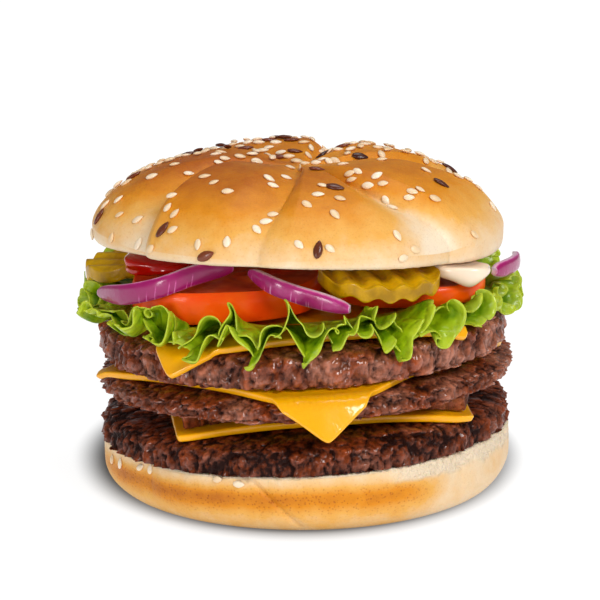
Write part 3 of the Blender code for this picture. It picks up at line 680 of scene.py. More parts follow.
def view_ray(across, down):
    """The camera's place and the direction through a pixel of the photograph."""
    level = CAMERA_ELEVATION
    right, up = Vector((1, 0, 0)), Vector((0, math.sin(level), math.cos(level)))
    forward = Vector((0, math.cos(level), -math.sin(level)))
    half = PICTURE / 2
    ahead = forward * FOCAL_PIXELS + right * (across - half) - up * (down - half)
    return camera_place(), ahead.normalized()


def seen_spots(tree, list_of_seeds):
    """Places, normals and turns of the seeds that the photograph shows on the surface in tree."""
    found = []
    for across, down, turn in list_of_seeds:
        for lower in range(0, 12, 2):
            eye, ahead = view_ray(across, down + lower)
            spot, facing, _, _ = tree.ray_cast(eye, ahead)
            if spot is not None:
                break
        if spot is None:
            continue
        angle = math.radians(turn)
        along = Vector((math.cos(angle), 0, math.sin(angle)))
        local = facing.to_track_quat("Z", "Y").to_matrix().inverted() @ along
        found.append((spot, facing, math.atan2(local.y, local.x)))
    return found


def strewn_spots(count, taken, draw, spacing):
    """Further places over the crown by a seeded rule, closest together round the hub."""
    made = []
    crowd = [np.array(spot) for spot, _, _ in taken]
    while len(made) < count:
        reach = 0.03 + 0.93 * draw.random() ** 0.62
        azimuth = draw.uniform(0.04 * math.pi, 0.96 * math.pi)
        spots, _ = crown_surface(
            np.array([azimuth, azimuth, azimuth + 0.02]), np.array([reach, min(0.999, reach + 0.01), reach])
        )
        spots = settle(spots)
        if all(np.linalg.norm(spots[0] - other) > spacing for other in crowd):
            facing = np.cross(spots[1] - spots[0], spots[2] - spots[0])
            facing = facing * np.sign(facing[2])
            made.append((Vector(spots[0]), Vector(facing), draw.uniform(0, math.pi)))
            crowd.append(spots[0])
    return made


def seed_material(name, pale, dark, roughness):
    """Hulled or whole seed coat: waxy, slightly see-through, each seed a little lighter or darker."""
    coat = Surface(name, soak=(0.15, (1, 0.8, 0.5), 0.6), Roughness=roughness, IOR=1.47)
    coat.link(Base_Color=coat.ramp(coat.painted("tone"), (0, linear(dark)), (1, linear(pale))))
    coat.bump(coat.cloud(0.5, 2), 0.06, 0.6)
    return coat.material


def add_seeds(name, spots, size, material, draw):
    """One joined mesh of seeds."""
    shape, faces = seed_mesh(size)
    shape = np.asarray(shape)
    points, all_faces, tones = [], [], []
    for number, (spot, facing, turn) in enumerate(spots):
        normal = np.array(Vector(facing).normalized())
        points.append(lay_seed(shape, np.array(spot) + normal * size[2] * 0.3, facing, turn, draw))
        offset = number * len(shape)
        all_faces += [tuple(corner + offset for corner in face) for face in faces]
        tones.append(np.full(len(shape), draw.random()))
    paint = {"tone": np.concatenate(tones)}
    add_piece(name, np.concatenate(points), all_faces, material, paint=paint)


def surface_of(name):
    """A piece's mesh, as a tree that rays can hit."""
    mesh = bpy.data.objects[name].data
    return BVHTree.FromPolygons([v.co for v in mesh.vertices], [tuple(p.vertices) for p in mesh.polygons])


class BURGER_OT_seeds(bpy.types.Operator):
    """Lays white sesame and brown flax on the roll."""

    bl_idname = "burger.seeds"
    bl_label = "Seeds"

    def execute(self, context):
        crown = surface_of("roll_crown")
        draw = random.Random(11)
        flax, sesame = seen_spots(crown, FLAX_IN_VIEW), seen_spots(crown, SESAME_IN_VIEW)
        strays = seen_spots(surface_of("roll_heel"), STRAYS_IN_VIEW)
        strewn = strewn_spots(context.scene.burger_roll.strewn, flax + sesame, draw, mm(3.4))
        flax += strewn[::8]
        sesame += [spot for i, spot in enumerate(strewn) if i % 8]
        pale = seed_material("Hulled sesame seed", "#FBE9CF", "#E8C698", 0.32)
        brown = seed_material("Brown flax seed", "#7A3A1E", "#3B1810", 0.25)
        add_seeds("sesame_seeds", sesame + strays, SESAME, pale, draw)
        add_seeds("flax_seeds", flax, FLAX, brown, draw)
        return {"FINISHED"}


def heel_radius(azimuth, height):
    """The heel's radius: a rounded foot under a straight side, with the roll's creases in it."""
    foot = mm(46) + mm(2.5) * np.maximum(0, np.cos(azimuth - FOOT_SWELL))
    belly = mm(9.5)
    low = np.maximum(0, 1 - height / belly)
    radius = foot + (BUN_RADIUS - foot) * np.sqrt(1 - low**2)
    depth, _ = crease_depth(np.degrees(azimuth), np.ones_like(azimuth))
    return radius - mm(1.1) * depth * ease(0, belly, height)


class BURGER_OT_heel(bpy.types.Operator):
    """Makes the bottom half of the roll."""

    bl_idname = "burger.heel"
    bl_label = "Heel"

    def execute(self, context):
        looks = context.scene.burger_roll
        steps = 620
        azimuth = once_round(steps)
        degrees = np.degrees(azimuth)
        underside = heel_radius(azimuth, 0)
        rings = [polar(underside * share, azimuth, 0.0, HEEL_CENTRE) for share in (0.4, 0.8, 0.95)]
        bakes, torns, pits = ([np.full(steps, value)] * len(rings) for value in (0.3, 0.0, 0.0))
        # The band that browned against the tin runs round the front left, with a pale side at the right
        front = ease(-195, -150, degrees) * (1 - ease(-66, -44, degrees))
        around = np.maximum(front, 0.45 * (1 + np.cos(azimuth - math.radians(120))) / 2)
        wander = swell(polar(mm(40), azimuth, 0.0), mm(16), 9) * mm(1)
        tear = ease(-72, -60, degrees) * (1 - ease(8, 30, degrees))
        foot_heights = mm(1) * np.array([0, 0.15, 0.4, 0.8, 1.3])
        for height in np.concatenate([foot_heights, np.linspace(mm(2), mm(16.4), 44)]):
            rings.append(polar(heel_radius(azimuth, height), azimuth, height, HEEL_CENTRE))
            above = height - wander - BAND_HEIGHT
            band = np.exp(-((above / np.where(above > 0, *BAND_REACH)) ** 2))
            foot = 1 - ease(mm(2), mm(8), height)
            bakes.append(0.17 + around * ((0.57 + 0.1 * (1 - ease(-110, -80, degrees))) * band + 0.18 * foot))
            ragged = height + swell(rings[-1], mm(5), 21) * mm(1.6)
            torns.append(0.9 * tear * ease(mm(12.2), mm(13.6), ragged))
            # Painted shade in the pits, strongest in the browned band
            pits.append(0.05 + 0.45 * around * band)
        for inset, height in ((0.25, 16.8), (0.7, 17), (1.6, 16.9), (3, 16.9), (6, 16.9), (14, 17), (30, 17)):
            radius = heel_radius(azimuth, HEEL_HEIGHT) - mm(inset)
            rings.append(polar(radius, azimuth, mm(height), HEEL_CENTRE))
            bakes.append(np.full(steps, 0.05))
            torns.append(np.full(steps, 0.9))
            pits.append(np.zeros(steps))
        rings, bakes, torns = np.array(rings), np.array(bakes), np.array(torns)
        outward = (rings - np.array([*HEEL_CENTRE, 0])) * np.array([1, 1, 0])
        outward /= np.linalg.norm(outward, axis=-1, keepdims=True)
        # A fold runs down the front of the side, slanting 1.05 degrees for each millimetre
        slanted = degrees - 1.05 * (rings[..., 2] - mm(8)) / mm(-1)
        fold = np.exp(-(((slanted + FOLD_AT) / 1.1) ** 2)) * ease(0, mm(3), rings[..., 2])
        soft = (swell(rings, mm(12), 5) - 0.7) * mm(0.35) - fold * mm(1)
        flaky = -np.abs(swell(rings, mm(1.8), 7)) * mm(1.3) * torns
        rings = rings + outward * ((soft + flaky) * ease(0, mm(3), rings[..., 2]))[..., None]
        bakes = bakes - 0.04 * fold
        low, high = (np.array([*HEEL_CENTRE, height]) for height in (0, HEEL_HEIGHT))
        points, faces = capped_rings(rings, low, high)
        paint = {
            "bake": with_tips(bakes, 0.3, 0.05),
            "torn": with_tips(torns, 0, 0.9),
            "pits": with_tips(pits, 0, 0),
        }
        material = crust_material("Crust browned against the tin", looks, 0.16)
        add_piece("roll_heel", settle(points), faces, material, ["heel"], paint)
        return {"FINISHED"}


# Beef and cheese

def superellipse(share, squareness):
    """Height, from 1 to 0, of a rounded square-shouldered arch at a share of its reach."""
    return np.maximum(0, 1 - share**squareness) ** (1 / squareness)


def patty_top(patty, radius):
    """Height of a patty's smooth top at a radius from its axis."""
    widest = patty["base"] + PATTY_THICKNESS * WIDEST_SHARE
    share = np.minimum(1, radius / patty["radius"])
    return widest + PATTY_THICKNESS * (1 - WIDEST_SHARE) * superellipse(share, TOP_SQUARENESS)


def highest_round(key, x, y, reach):
    """The highest of a slice and its patty over points and eight more round each."""
    patty, curve = PATTIES[key], drape_curve(key)
    best = np.full(x.shape, patty["base"])
    for i in range(9):
        px = x + (reach if i else 0) * math.cos(i * math.pi / 4)
        py = y + (reach if i else 0) * math.sin(i * math.pi / 4)
        off_axis = np.hypot(px - patty["centre"][0], py - patty["centre"][1])
        beef = np.where(off_axis < patty["radius"], patty_top(patty, off_axis), patty["base"])
        best = np.maximum(np.maximum(best, beef), cheese_top(key, curve, px, py))
    return best


def resting_floor(patty, x, y):
    """Height of what a patty lies on, round points."""
    if patty["lies_on"] is None:
        return np.full(x.shape, HEEL_HEIGHT + GAP)
    return highest_round(patty["lies_on"], x, y, mm(3)) + GAP


def beef_material(looks):
    """Griddled minced beef: craggy, with painted shade near black in the clefts and painted light on the
    lumps, pink in places, with glints of fat.
    """
    shine = {"IOR": 1.42, "Specular_IOR_Level": 0.2, "Coat_Roughness": 0.1, "Coat_IOR": 1.55}
    beef = Surface("Griddled minced beef", **shine)
    # Pinker where this painted value is high: partly the beef's own tone, partly painted light on the right
    # side
    rosy = beef.spread(beef.plus(beef.painted("rosy"), beef.cloud(11, 3)), 0.46, 0.66)
    fibre = beef.cloud(1.2, 5, Roughness=0.7)
    # Painted light and shade: raised lumps take the beef's colours, the clefts the near-black
    raised = beef.spread(beef.plus(beef.painted("lump"), fibre, 0.8), 0.62, 1.2)
    # Fat and juice lie in patches a few millimetres wide
    wet = beef.cloud(2.6, 3)
    beef.link(
        Base_Color=beef.mix(raised, looks.seared, beef.mix(rosy, looks.beef, looks.pink)),
        Roughness=beef.spread(wet, 0.4, 0.6, 0.65, 0.28),
        Coat_Weight=beef.times(beef.spread(wet, 0.4, 0.48), raised),
    )
    # Threads and grains of mince about 1 mm across
    beef.bump(beef.plus(fibre, beef.cells(1.3, feature="SMOOTH_F1"), -0.9), 0.7, 1)
    # The juice fills the finest clefts, so it glints from whole lumps
    beef.bump(beef.cloud(2, 1), 0.8, 0.4, "Coat_Normal")
    return beef.material


def add_patty(key, material, crag):
    """A pressed disc of minced beef with a ragged rim that sags onto what is under it."""
    patty = PATTIES[key]
    steps = 780
    azimuth = once_round(steps)
    widest = patty["base"] + PATTY_THICKNESS * WIDEST_SHARE
    below, above = PATTY_THICKNESS * WIDEST_SHARE, PATTY_THICKNESS * (1 - WIDEST_SHARE)
    rings, rims, sags = [], [], []
    for side, depth, square, soft in ((-1, below, BASE_SQUARENESS, 0.5), (1, above, TOP_SQUARENESS, 0.38)):
        for turn in np.linspace(0.05, math.pi / 2, 36)[:: -side]:
            share, level = math.sin(turn) ** (2 / square), math.cos(turn) ** (2 / square)
            if side == 1 and share > 0.9999:
                continue
            height = widest + side * depth * level
            rings.append(polar(patty["radius"] * share, azimuth, height, patty["centre"]))
            rims.append(np.full(steps, share))
            sags.append(0.5 - side * 0.5 * min(1, level / soft))
    rings, rims, sags = np.array(rings), np.array(rims), np.array(sags)[:, None]
    seed = patty["seed"]
    # The lumps keep their shape where the rim hangs
    sag = RIM_SAG * ease(0.7, 0.95, rims) * sags
    hung = rings - sag[..., None] * np.array([0, 0, 1])
    bent = hung + np.stack([swell(hung, mm(3.5), seed + i) for i in range(3)], axis=-1) * mm(1.5)
    bent = bent * np.array([1, 1, 1.2])
    # Relief from 10 mm swells down to 1.4 mm crumbs
    broad = 0.5 + 0.5 * swell(hung * np.array([1, 1, 1.3]), mm(10), seed)
    lump = granules(bent, mm(5), seed)
    grain = granules(bent, mm(2.6), seed + 1)
    crumbs = granules(hung, mm(1.4), seed + 2)
    # Painted light and shade: pinker towards the right, where the key light falls, lighter on raised lumps,
    # darker in the clefts, and each patty set lighter or darker by its own share, the lowest darkest
    rightward = np.clip(rings[..., 0] / mm(58), -1, 1)
    rosy = 0.05 * swell(hung, mm(24), seed + 4) + 0.08 * rightward + patty["rosy"]
    lit = 0.25 * broad + 0.35 * lump + 0.3 * grain + 0.2 * crumbs + 1.3 * patty["rosy"]
    raised = 0.34 * broad + 0.42 * lump + 0.32 * grain + 0.14 * crumbs
    sunk = crag * np.clip(1.06 - 1.12 * raised, -0.22, 1) * (0.25 + 0.75 * ease(0.5, 0.92, rims))
    inward = (np.array([*patty["centre"], widest]) - rings) * np.array([1, 1, 2])
    inward /= np.linalg.norm(inward, axis=-1, keepdims=True)
    rings = rings + inward * sunk[..., None]
    floor = np.minimum(rings[..., 2], resting_floor(patty, rings[..., 0], rings[..., 1]))
    rings[..., 2] = np.where(sag > 0, np.maximum(floor, rings[..., 2] - sag), rings[..., 2])
    tips = [[*patty["centre"], patty["base"] + lift] for lift in (mm(0.4), PATTY_THICKNESS - mm(0.4))]
    points, faces = capped_rings(rings, *tips)
    paint = {"lump": with_tips(lit, 0.5, 0.5), "rosy": with_tips(rosy, 0, 0)}
    add_piece(f"beef_patty_{key}", settle(points), faces, material, [f"patty_{key}"], paint)


class BURGER_OT_patties(bpy.types.Operator):
    """Makes the beef patties."""

    bl_idname = "burger.patties"
    bl_label = "Patties"

    def execute(self, context):
        looks = context.scene.burger_filling
        material = beef_material(looks)
        for key in PATTIES:
            add_patty(key, material, looks.crag)
        return {"FINISHED"}


def drape_curve(key):
    """Length, radius, height and slope down a patty's top, until the slice's own hang slope is reached."""
    patty, limit = PATTIES[key], math.radians(CHEESES[key]["slope"])
    step = mm(0.25)
    points = [(0, 0, float(patty_top(patty, 0)), 0)]
    length, radius = 0, 0
    while points[-1][3] < limit and radius < patty["radius"] - step:
        before = float(patty_top(patty, radius))
        radius += step
        after = float(patty_top(patty, radius))
        length += math.hypot(step, before - after)
        points.append((length, radius, after, math.atan2(before - after, step)))
    end = points[-1]
    beyond = mm(60)
    drop = (end[0] + beyond, end[1] + beyond * math.cos(end[3]), end[2] - beyond * math.sin(end[3]), end[3])
    return np.array(points + [drop]).T


def draped(curve, length, lift):
    """Radius and height at lengths along a draped slice, lifted square off the patty."""
    radius, height, slope = (np.interp(length, curve[0], curve[i]) for i in (1, 2, 3))
    lift = lift + STANDOFF * ease(0.15, 0.7, slope)
    return radius + lift * np.sin(slope), height + lift * np.cos(slope)


def cheese_material(looks):
    """Sliced processed cheese, warmed: waxy and slightly see-through, with a soft wet shine."""
    cheese = Surface(
        "Processed cheese slice", soak=(0.15, (1, 0.5, 0.05), 1.5), Roughness=0.36, IOR=1.44,
        Specular_IOR_Level=0.2, Coat_Weight=0.8, Coat_Roughness=0.07,
    )
    deeper = shade_of(looks.cheese, (0.98, 0.9, 0.4))
    cheese.link(Base_Color=cheese.mix(cheese.cloud(12, 3), looks.cheese, deeper))
    cheese.bump(cheese.cloud(4, 3), 0.3, 0.6, "Normal", "Coat_Normal")
    return cheese.material


def add_cheese(key, material):
    """A square slice that lies on its patty and hangs at the corners."""
    cheese, curve, axis = CHEESES[key], drape_curve(key), PATTIES[key]["centre"]
    cells = 72
    ticks = np.linspace(-1, 1, cells + 1)
    across, along = np.meshgrid(ticks, ticks, indexing="ij")
    pull = 1 - 0.02 * (np.abs(across) * np.abs(along)) ** 16
    across, along = across * pull, along * pull
    turn, half = math.radians(cheese["turn"]), CHEESE_SIDE / 2
    x = half * (across * math.cos(turn) - along * math.sin(turn)) + cheese["middle"][0] - axis[0]
    y = half * (across * math.sin(turn) + along * math.cos(turn)) + cheese["middle"][1] - axis[1]
    length, azimuth = np.hypot(x, y), np.arctan2(y, x)
    flat = np.stack([x, y, 0 * x], axis=-1)
    wave = swell(flat, mm(15), len(key)) * mm(0.5) + swell(flat, mm(6), 8) * mm(0.15)
    sides = []
    for lift in (GAP, GAP + CHEESE_THICKNESS):
        radius, height = draped(curve, length, lift)
        settle_down = wave * ease(mm(30), mm(50), length)
        sides.append(polar(radius + settle_down, azimuth, height, axis))
    points = np.concatenate([side.reshape(-1, 3) for side in sides])
    faces = sheet_faces(cells + 1, cells + 1, (cells + 1) ** 2)
    made = add_piece(f"cheese_slice_{key}", settle(points), faces, material, [f"cheese_{key}"])
    edge = made.modifiers.new("soft edge", "BEVEL")
    edge.width = mm(0.6)
    edge.segments = 3
    edge.limit_method = "ANGLE"
    edge.angle_limit = math.radians(50)


class BURGER_OT_cheese(bpy.types.Operator):
    """Makes the cheese slices."""

    bl_idname = "burger.cheese"
    bl_label = "Cheese"

    def execute(self, context):
        material = cheese_material(context.scene.burger_filling)
        for key in CHEESES:
            add_cheese(key, material)
        return {"FINISHED"}


def cheese_top(key, curve, x, y):
    """Height of a draped slice's top over points, and a low value where the slice doesn't reach."""
    cheese, axis = CHEESES[key], PATTIES[key]["centre"]
    lengths = np.linspace(0, mm(90), 500)
    reach, height = draped(curve, lengths, GAP + CHEESE_THICKNESS)
    radius, azimuth = np.hypot(x - axis[0], y - axis[1]), np.arctan2(y - axis[1], x - axis[0])
    length = np.interp(radius, reach, lengths)
    flat_x = length * np.cos(azimuth) + axis[0] - cheese["middle"][0]
    flat_y = length * np.sin(azimuth) + axis[1] - cheese["middle"][1]
    turn = math.radians(cheese["turn"])
    across = flat_x * math.cos(turn) + flat_y * math.sin(turn)
    along = flat_y * math.cos(turn) - flat_x * math.sin(turn)
    inside = np.maximum(np.abs(across), np.abs(along)) < CHEESE_SIDE / 2 + mm(0.5)
    return np.where(inside, np.interp(length, lengths, height), mm(40))


# The leaf

def leaf_floor(x, y):
    """The highest thing under the leaf round points."""
    return np.maximum(mm(46), highest_round("upper", x, y, mm(1.4))) + GAP


def leaf_ceiling(x, y):
    """The lowest thing over the leaf round points."""
    margin = mm(2.2)
    best = np.full(x.shape, FRILL_TOP)
    for slice_of in list(TOMATOES.values()) + list(GHERKINS.values()):
        (cx, cy), half, base = slice_of[0], slice_of[1], slice_of[2]
        about_x, about_y = (math.radians(angle) for angle in slice_of[4])
        under = base + (y - cy) * math.tan(about_x) - (x - cx) * math.tan(about_y) - mm(0.3)
        reach = (np.abs(x - cx) / (half[0] + margin)) ** 2.5 + (np.abs(y - cy) / (half[1] + margin)) ** 2.5
        best = np.where(reach < 1, np.minimum(best, under), best)
    for path, height in ONIONS.values():
        for point in smooth_path(path, 15):
            near = np.hypot(x - point[0], y - point[1]) < mm(3.5)
            best = np.where(near, np.minimum(best, point[2] - height / 2 - mm(0.3)), best)
    return best - GAP


def widened(heights, side, reach=6):
    """Each ring's heights, spread to neighbours and smoothed: side 1 keeps the highest, -1 the lowest."""
    shifts = range(-reach, reach + 1, 2)
    spread = side * np.max([side * np.roll(heights, i, axis=1) for i in shifts], axis=0)
    return np.mean([np.roll(spread, i, axis=1) for i in shifts], axis=0)


def bent_between(height, low, high, softness):
    """Heights bent softly, so that they stay between low and high."""
    height = low + softness * np.logaddexp(0, (height - low) / softness)
    height = high - softness * np.logaddexp(0, (high - height) / softness)
    return np.maximum(height, low)


def leaf_material(looks):
    """Green batavia lettuce: crisp and thin, paler at the teeth of its edge, partly as a painted highlight,
    with veins and blisters.
    """
    leaf = Surface(
        "Frilled lettuce leaf", soak=(0.25, (0.7, 1, 0.1), 1.2), Roughness=0.34, IOR=1.4,
        Coat_Weight=0.12, Coat_Roughness=0.2,
    )
    edge = leaf.painted("edge")
    deep, inner = shade_of(looks.leaf, (0.4, 0.55, 0.5)), shade_of(looks.leaf, (1.7, 1.5, 2.4))
    body = leaf.mix(leaf.spread(leaf.cloud(5, 5), 0.38, 0.6), deep, looks.leaf)
    body = leaf.mix(leaf.spread(edge, 0.1, 0.5, 0.8, 0), body, inner)
    # Paler towards the edge: partly the leaf's own colour, partly a painted highlight on the thin rim
    leaf.link(Base_Color=leaf.mix(leaf.spread(edge, 0.84, 1, 0, 0.7), body, looks.leaf_edge))
    # Blisters between the veins, 2 mm apart
    leaf.bump(leaf.cells(2.2, feature="SMOOTH_F1"), 1, 0.8, "Normal", "Coat_Normal")
    return leaf.material


def frill(radii, lift, folds, seed, hang, steps=1900, rows=26):
    """Points of one frilled ring of leaf: folds upon folds that grow towards the edge, roll over and hang."""
    azimuth = once_round(steps)[None, :]
    out = np.linspace(0, 1, rows)[:, None]
    circle = polar(mm(60), azimuth[0], 0.0)
    wander = {size: swell(circle, mm(size), seed + size)[None, :] for size in (26, 18, 12, 7, 4, 2)}
    strength = 1 + 0.7 * wander[18]
    large = folds * azimuth + 5 * wander[26]
    small = (2 * folds + 9) * azimuth + 5 * wander[12]
    curl = (5 * folds + 3) * azimuth + 3 * wander[7]
    grown, late, last = out**1.5, out**2.4, out**5
    tight = 1 + 0.8 * wander[12]
    rise = mm(3.6) * strength * grown * np.sin(large) + mm(2.5) * tight * late * np.sin(small)
    sunk = hang * out**3 * (0.75 - 0.5 * np.sin(large) + 0.5 * wander[12])
    rise = rise + mm(0.9) * last * np.sin(curl) - sunk
    lean = mm(1.7) * grown * np.sin(2 * large + 0.5) + mm(0.7) * late * np.sin(2 * small + 1)
    push = mm(2) * grown * np.cos(large + 0.6) + mm(1.8) * late * np.cos(small + 0.4)
    push = push + mm(0.7) * last * np.cos(curl)
    teeth = 1 + out**3 * (0.05 * wander[7] + 0.06 * wander[4] + 0.08 * wander[2])
    radius = radii[0] + (radii[1] - radii[0]) * out * teeth + push * 0.8
    spot = polar(radius, azimuth + lean / mm(60), LEAF_BASE + lift * out + rise, LEAF_MIDDLE)
    degrees, foot = zip(*FRILL_FOOT)
    foot = mm(1) * np.interp(np.degrees(azimuth), degrees, foot) + mm(1.5) * wander[7] - mm(16) * (1 - out)
    spot[..., 2] = bent_between(spot[..., 2], foot, mm(80), mm(1))
    low = widened(leaf_floor(spot[..., 0], spot[..., 1]), 1)
    high = np.maximum(widened(leaf_ceiling(spot[..., 0], spot[..., 1]) - mm(0.3), -1), low + mm(0.2))
    spot[..., 2] = bent_between(spot[..., 2], low, high, mm(0.5))
    # The edge keeps inside the space that the leaf has in the stack
    for axis in (0, 1):
        reach = LEAF_REACH[axis] * (1 + 0.02 * wander[7] + 0.01 * wander[2])
        spot[..., axis] = bent_between(spot[..., axis], -reach, reach, mm(0.6))
    return spot, np.broadcast_to(out, spot.shape[:2])


class BURGER_OT_lettuce(bpy.types.Operator):
    """Makes the frilled lettuce."""

    bl_idname = "burger.lettuce"
    bl_label = "Lettuce"

    def execute(self, context):
        material = leaf_material(context.scene.burger_salad)
        layers = (
            ("lettuce_leaf_outer", mm(44, 62), mm(0.2), 23, 3, mm(3.6)),
            ("lettuce_leaf_inner", mm(42, 59), mm(3.4), 19, 31, mm(1)),
        )
        for name, radii, lift, folds, seed, hang in layers:
            spot, out = frill(radii, lift, folds, seed, hang)
            rows, steps = out.shape
            faces = ring_faces(rows, steps, capped=False)
            made = add_piece(name, settle(spot), faces, material, ["lettuce"], {"edge": out})
            solid = made.modifiers.new("leaf thickness", "SOLIDIFY")
            solid.thickness = mm(0.32)
            solid.offset = 0
        return {"FINISHED"}


# Tomato, gherkin and onion

def tilted(points, middle, base, tilt):
    """Points of a slice at the origin, tilted and put in its place."""
    turn = np.array(Euler((math.radians(tilt[0]), math.radians(tilt[1]), 0)).to_matrix())
    return points @ turn.T + np.array([*middle, base])


def tomato_material(looks):
    """Ripe tomato: thin glossy skin over wet flesh, paler and streaked where it is cut."""
    tomato = Surface(
        "Ripe tomato", soak=(0.2, (1, 0.25, 0.1), 2.5), Roughness=0.34, IOR=1.36, Specular_IOR_Level=0.2,
        Coat_Weight=0.15, Coat_Roughness=0.08,
    )
    cloud = tomato.cloud(8, 4)
    skin = tomato.mix(tomato.spread(cloud, 0.35, 0.7), looks.tomato, shade_of(looks.tomato, (1.05, 1.9, 1.2)))
    pulp = tomato.ramp(cloud, (0.35, linear("#D03008")), (0.65, linear("#F06A2A")))
    tomato.link(Base_Color=tomato.mix(tomato.painted("cut"), skin, pulp))
    tomato.bump(tomato.cloud(4, 3), 0.25, 0.5)
    return tomato.material


class BURGER_OT_tomatoes(bpy.types.Operator):
    """Makes the tomato slices."""

    bl_idname = "burger.tomatoes"
    bl_label = "Tomatoes"

    def execute(self, context):
        material = tomato_material(context.scene.burger_salad)
        steps = 180
        azimuth = once_round(steps, 0)
        across, along = np.cos(azimuth), np.sin(azimuth)
        lobed = 1 / (np.abs(across) ** 2.5 + np.abs(along) ** 2.5) ** 0.4
        # Share of the outline, share of the thickness, and whether the ring is on a cut face
        profile = [(share, 0, 1) for share in (0.2, 0.45, 0.7, 0.88, 0.94)]
        for angle in np.linspace(-1, 1, 15):
            profile.append((0.965 + 0.035 * (1 - abs(angle) ** 3), 0.5 + 0.5 * angle, 0))
        profile += [(share, 1, 1) for share in (0.94, 0.88, 0.7, 0.45, 0.2)]
        for number, (name, (middle, half, base, thickness, tilt)) in enumerate(TOMATOES.items()):
            rings, cuts = [], []
            for share, lift, cut in profile:
                x, y = half[0] * lobed * across * share, half[1] * lobed * along * share
                ring = np.stack([x, y, np.full(steps, thickness * lift)], axis=-1)
                # The seed chambers are a little hollow where the slice was cut
                chamber = np.cos(3 * azimuth + number) ** 2 * math.sin(math.pi * share) * cut
                ring[:, 2] += chamber * mm(0.7) * (1 if lift < 0.5 else -1)
                rings.append(ring)
                cuts.append(np.full(steps, float(cut)))
            rings = np.array(rings)
            rings[..., :2] *= 1 + 0.012 * swell(rings, mm(18), number)[..., None]
            points, faces = capped_rings(rings, (0, 0, 0), (0, 0, thickness))
            points = settle(tilted(points, middle, base, tilt))
            paint = {"cut": with_tips(cuts, 1, 1)}
            add_piece(f"{name}_slice", points, faces, material, [name], paint, sharp=50)
        return {"FINISHED"}


def gherkin_material(looks):
    """Pickled gherkin: wet, olive skin with warts, and yellow see-through flesh."""
    gherkin = Surface(
        "Pickled gherkin", soak=(0.25, (1, 0.85, 0.05), 2.5), Roughness=0.34, IOR=1.38,
        Specular_IOR_Level=0.3, Coat_Weight=0.18, Coat_Roughness=0.1,
    )
    tone = gherkin.spread(gherkin.cloud(4.5, 4), 0.36, 0.62)
    rind = gherkin.mix(tone, shade_of(looks.gherkin_skin, (0.6, 0.56, 0.5)), looks.gherkin_skin)
    flesh = gherkin.mix(tone, looks.gherkin_skin, looks.gherkin)
    gherkin.link(Base_Color=gherkin.mix(gherkin.painted("skin"), flesh, rind))
    gherkin.bump(gherkin.cloud(2.2, 3), 0.5, 0.7)
    return gherkin.material


class BURGER_OT_gherkins(bpy.types.Operator):
    """Makes the crinkle-cut gherkin slices."""

    bl_idname = "burger.gherkins"
    bl_label = "Gherkins"

    def execute(self, context):
        material = gherkin_material(context.scene.burger_salad)
        steps = 160
        azimuth = once_round(steps, 0)
        # Share of the outline, share of the thickness, and whether the ring is on the skin
        flats = np.concatenate([np.linspace(0.06, 0.9, 20), [0.95, 0.975, 0.99]])
        profile = [(share, 0, 0) for share in flats] + [(1, lift, 1) for lift in np.linspace(0.06, 0.94, 8)]
        profile += [(share, 1, 0) for share in flats[::-1]]
        for name, (middle, half, base, thickness, tilt, ridge_turn) in GHERKINS.items():
            rings, skins = [], []
            for share, lift, skin in profile:
                x, y = half[0] * share * np.cos(azimuth), half[1] * share * np.sin(azimuth)
                over = x * math.cos(ridge_turn) + y * math.sin(ridge_turn)
                ridge = CRINKLE_HEIGHT * (1 - np.cos(2 * math.pi * over / CRINKLE_LENGTH)) / 2
                rings.append(np.stack([x, y, (thickness - CRINKLE_HEIGHT) * lift + ridge], axis=-1))
                skins.append(np.full(steps, float(skin) + 0.6 * ease(0.86, 0.98, share) * (1 - skin)))
            rings = np.array(rings)
            dip = 1 - ease(0, 0.75, np.array([share for share, _, _ in profile]))
            top_half = np.arange(len(profile)) > len(profile) // 2
            rings[..., 2] -= (dip * top_half)[:, None] * mm(0.5)
            rings[..., :2] *= 1 + 0.02 * (swell(rings, mm(6), len(name))[..., None] - 0.6)
            points, faces = capped_rings(rings, rings[0].mean(axis=0), rings[-1].mean(axis=0))
            points = settle(tilted(points, middle, base, tilt))
            paint = {"skin": with_tips(skins, 0, 0)}
            add_piece(f"{name}_slice", points, faces, material, [name], paint, sharp=55)
        return {"FINISHED"}


def smooth_path(points, count):
    """Evenly counted points on a curve through the given ones, in metres."""
    ends = [points[0]] + list(points) + [points[-1]]
    knots = np.array(ends) * 0.001
    path = []
    for i in range(count):
        place = (len(points) - 1) * i / (count - 1)
        k = min(int(place), len(points) - 2)
        t = place - k
        a, b, c, d = knots[k : k + 4]
        path.append(
            0.5 * (2 * b + (c - a) * t + (2 * a - 5 * b + 4 * c - d) * t * t + (3 * b - a - 3 * c + d) * t**3)
        )
    return np.array(path)


def onion_material(looks):
    """Red onion: a glossy purple skin that fades to white at the cut edges, with fine veins along it."""
    onion = Surface(
        "Red onion", soak=(0.12, (1, 0.6, 0.8), 1.5), Roughness=0.3, IOR=1.42,
        Coat_Weight=0.5, Coat_Roughness=0.1,
    )
    skin = onion.uneven(onion.painted("skin"), onion.cloud(3.5, 5, Roughness=0.65), 0.7)
    flesh = [(0.0, linear("#F4E6EC")), (0.26, linear("#DE96C2")), (0.5, linear("#BC2E84"))]
    onion.link(Base_Color=onion.ramp(skin, *flesh, (0.85, looks.onion)))
    onion.bump(onion.cloud(1.4, 3), 0.2, 0.5)
    return onion.material


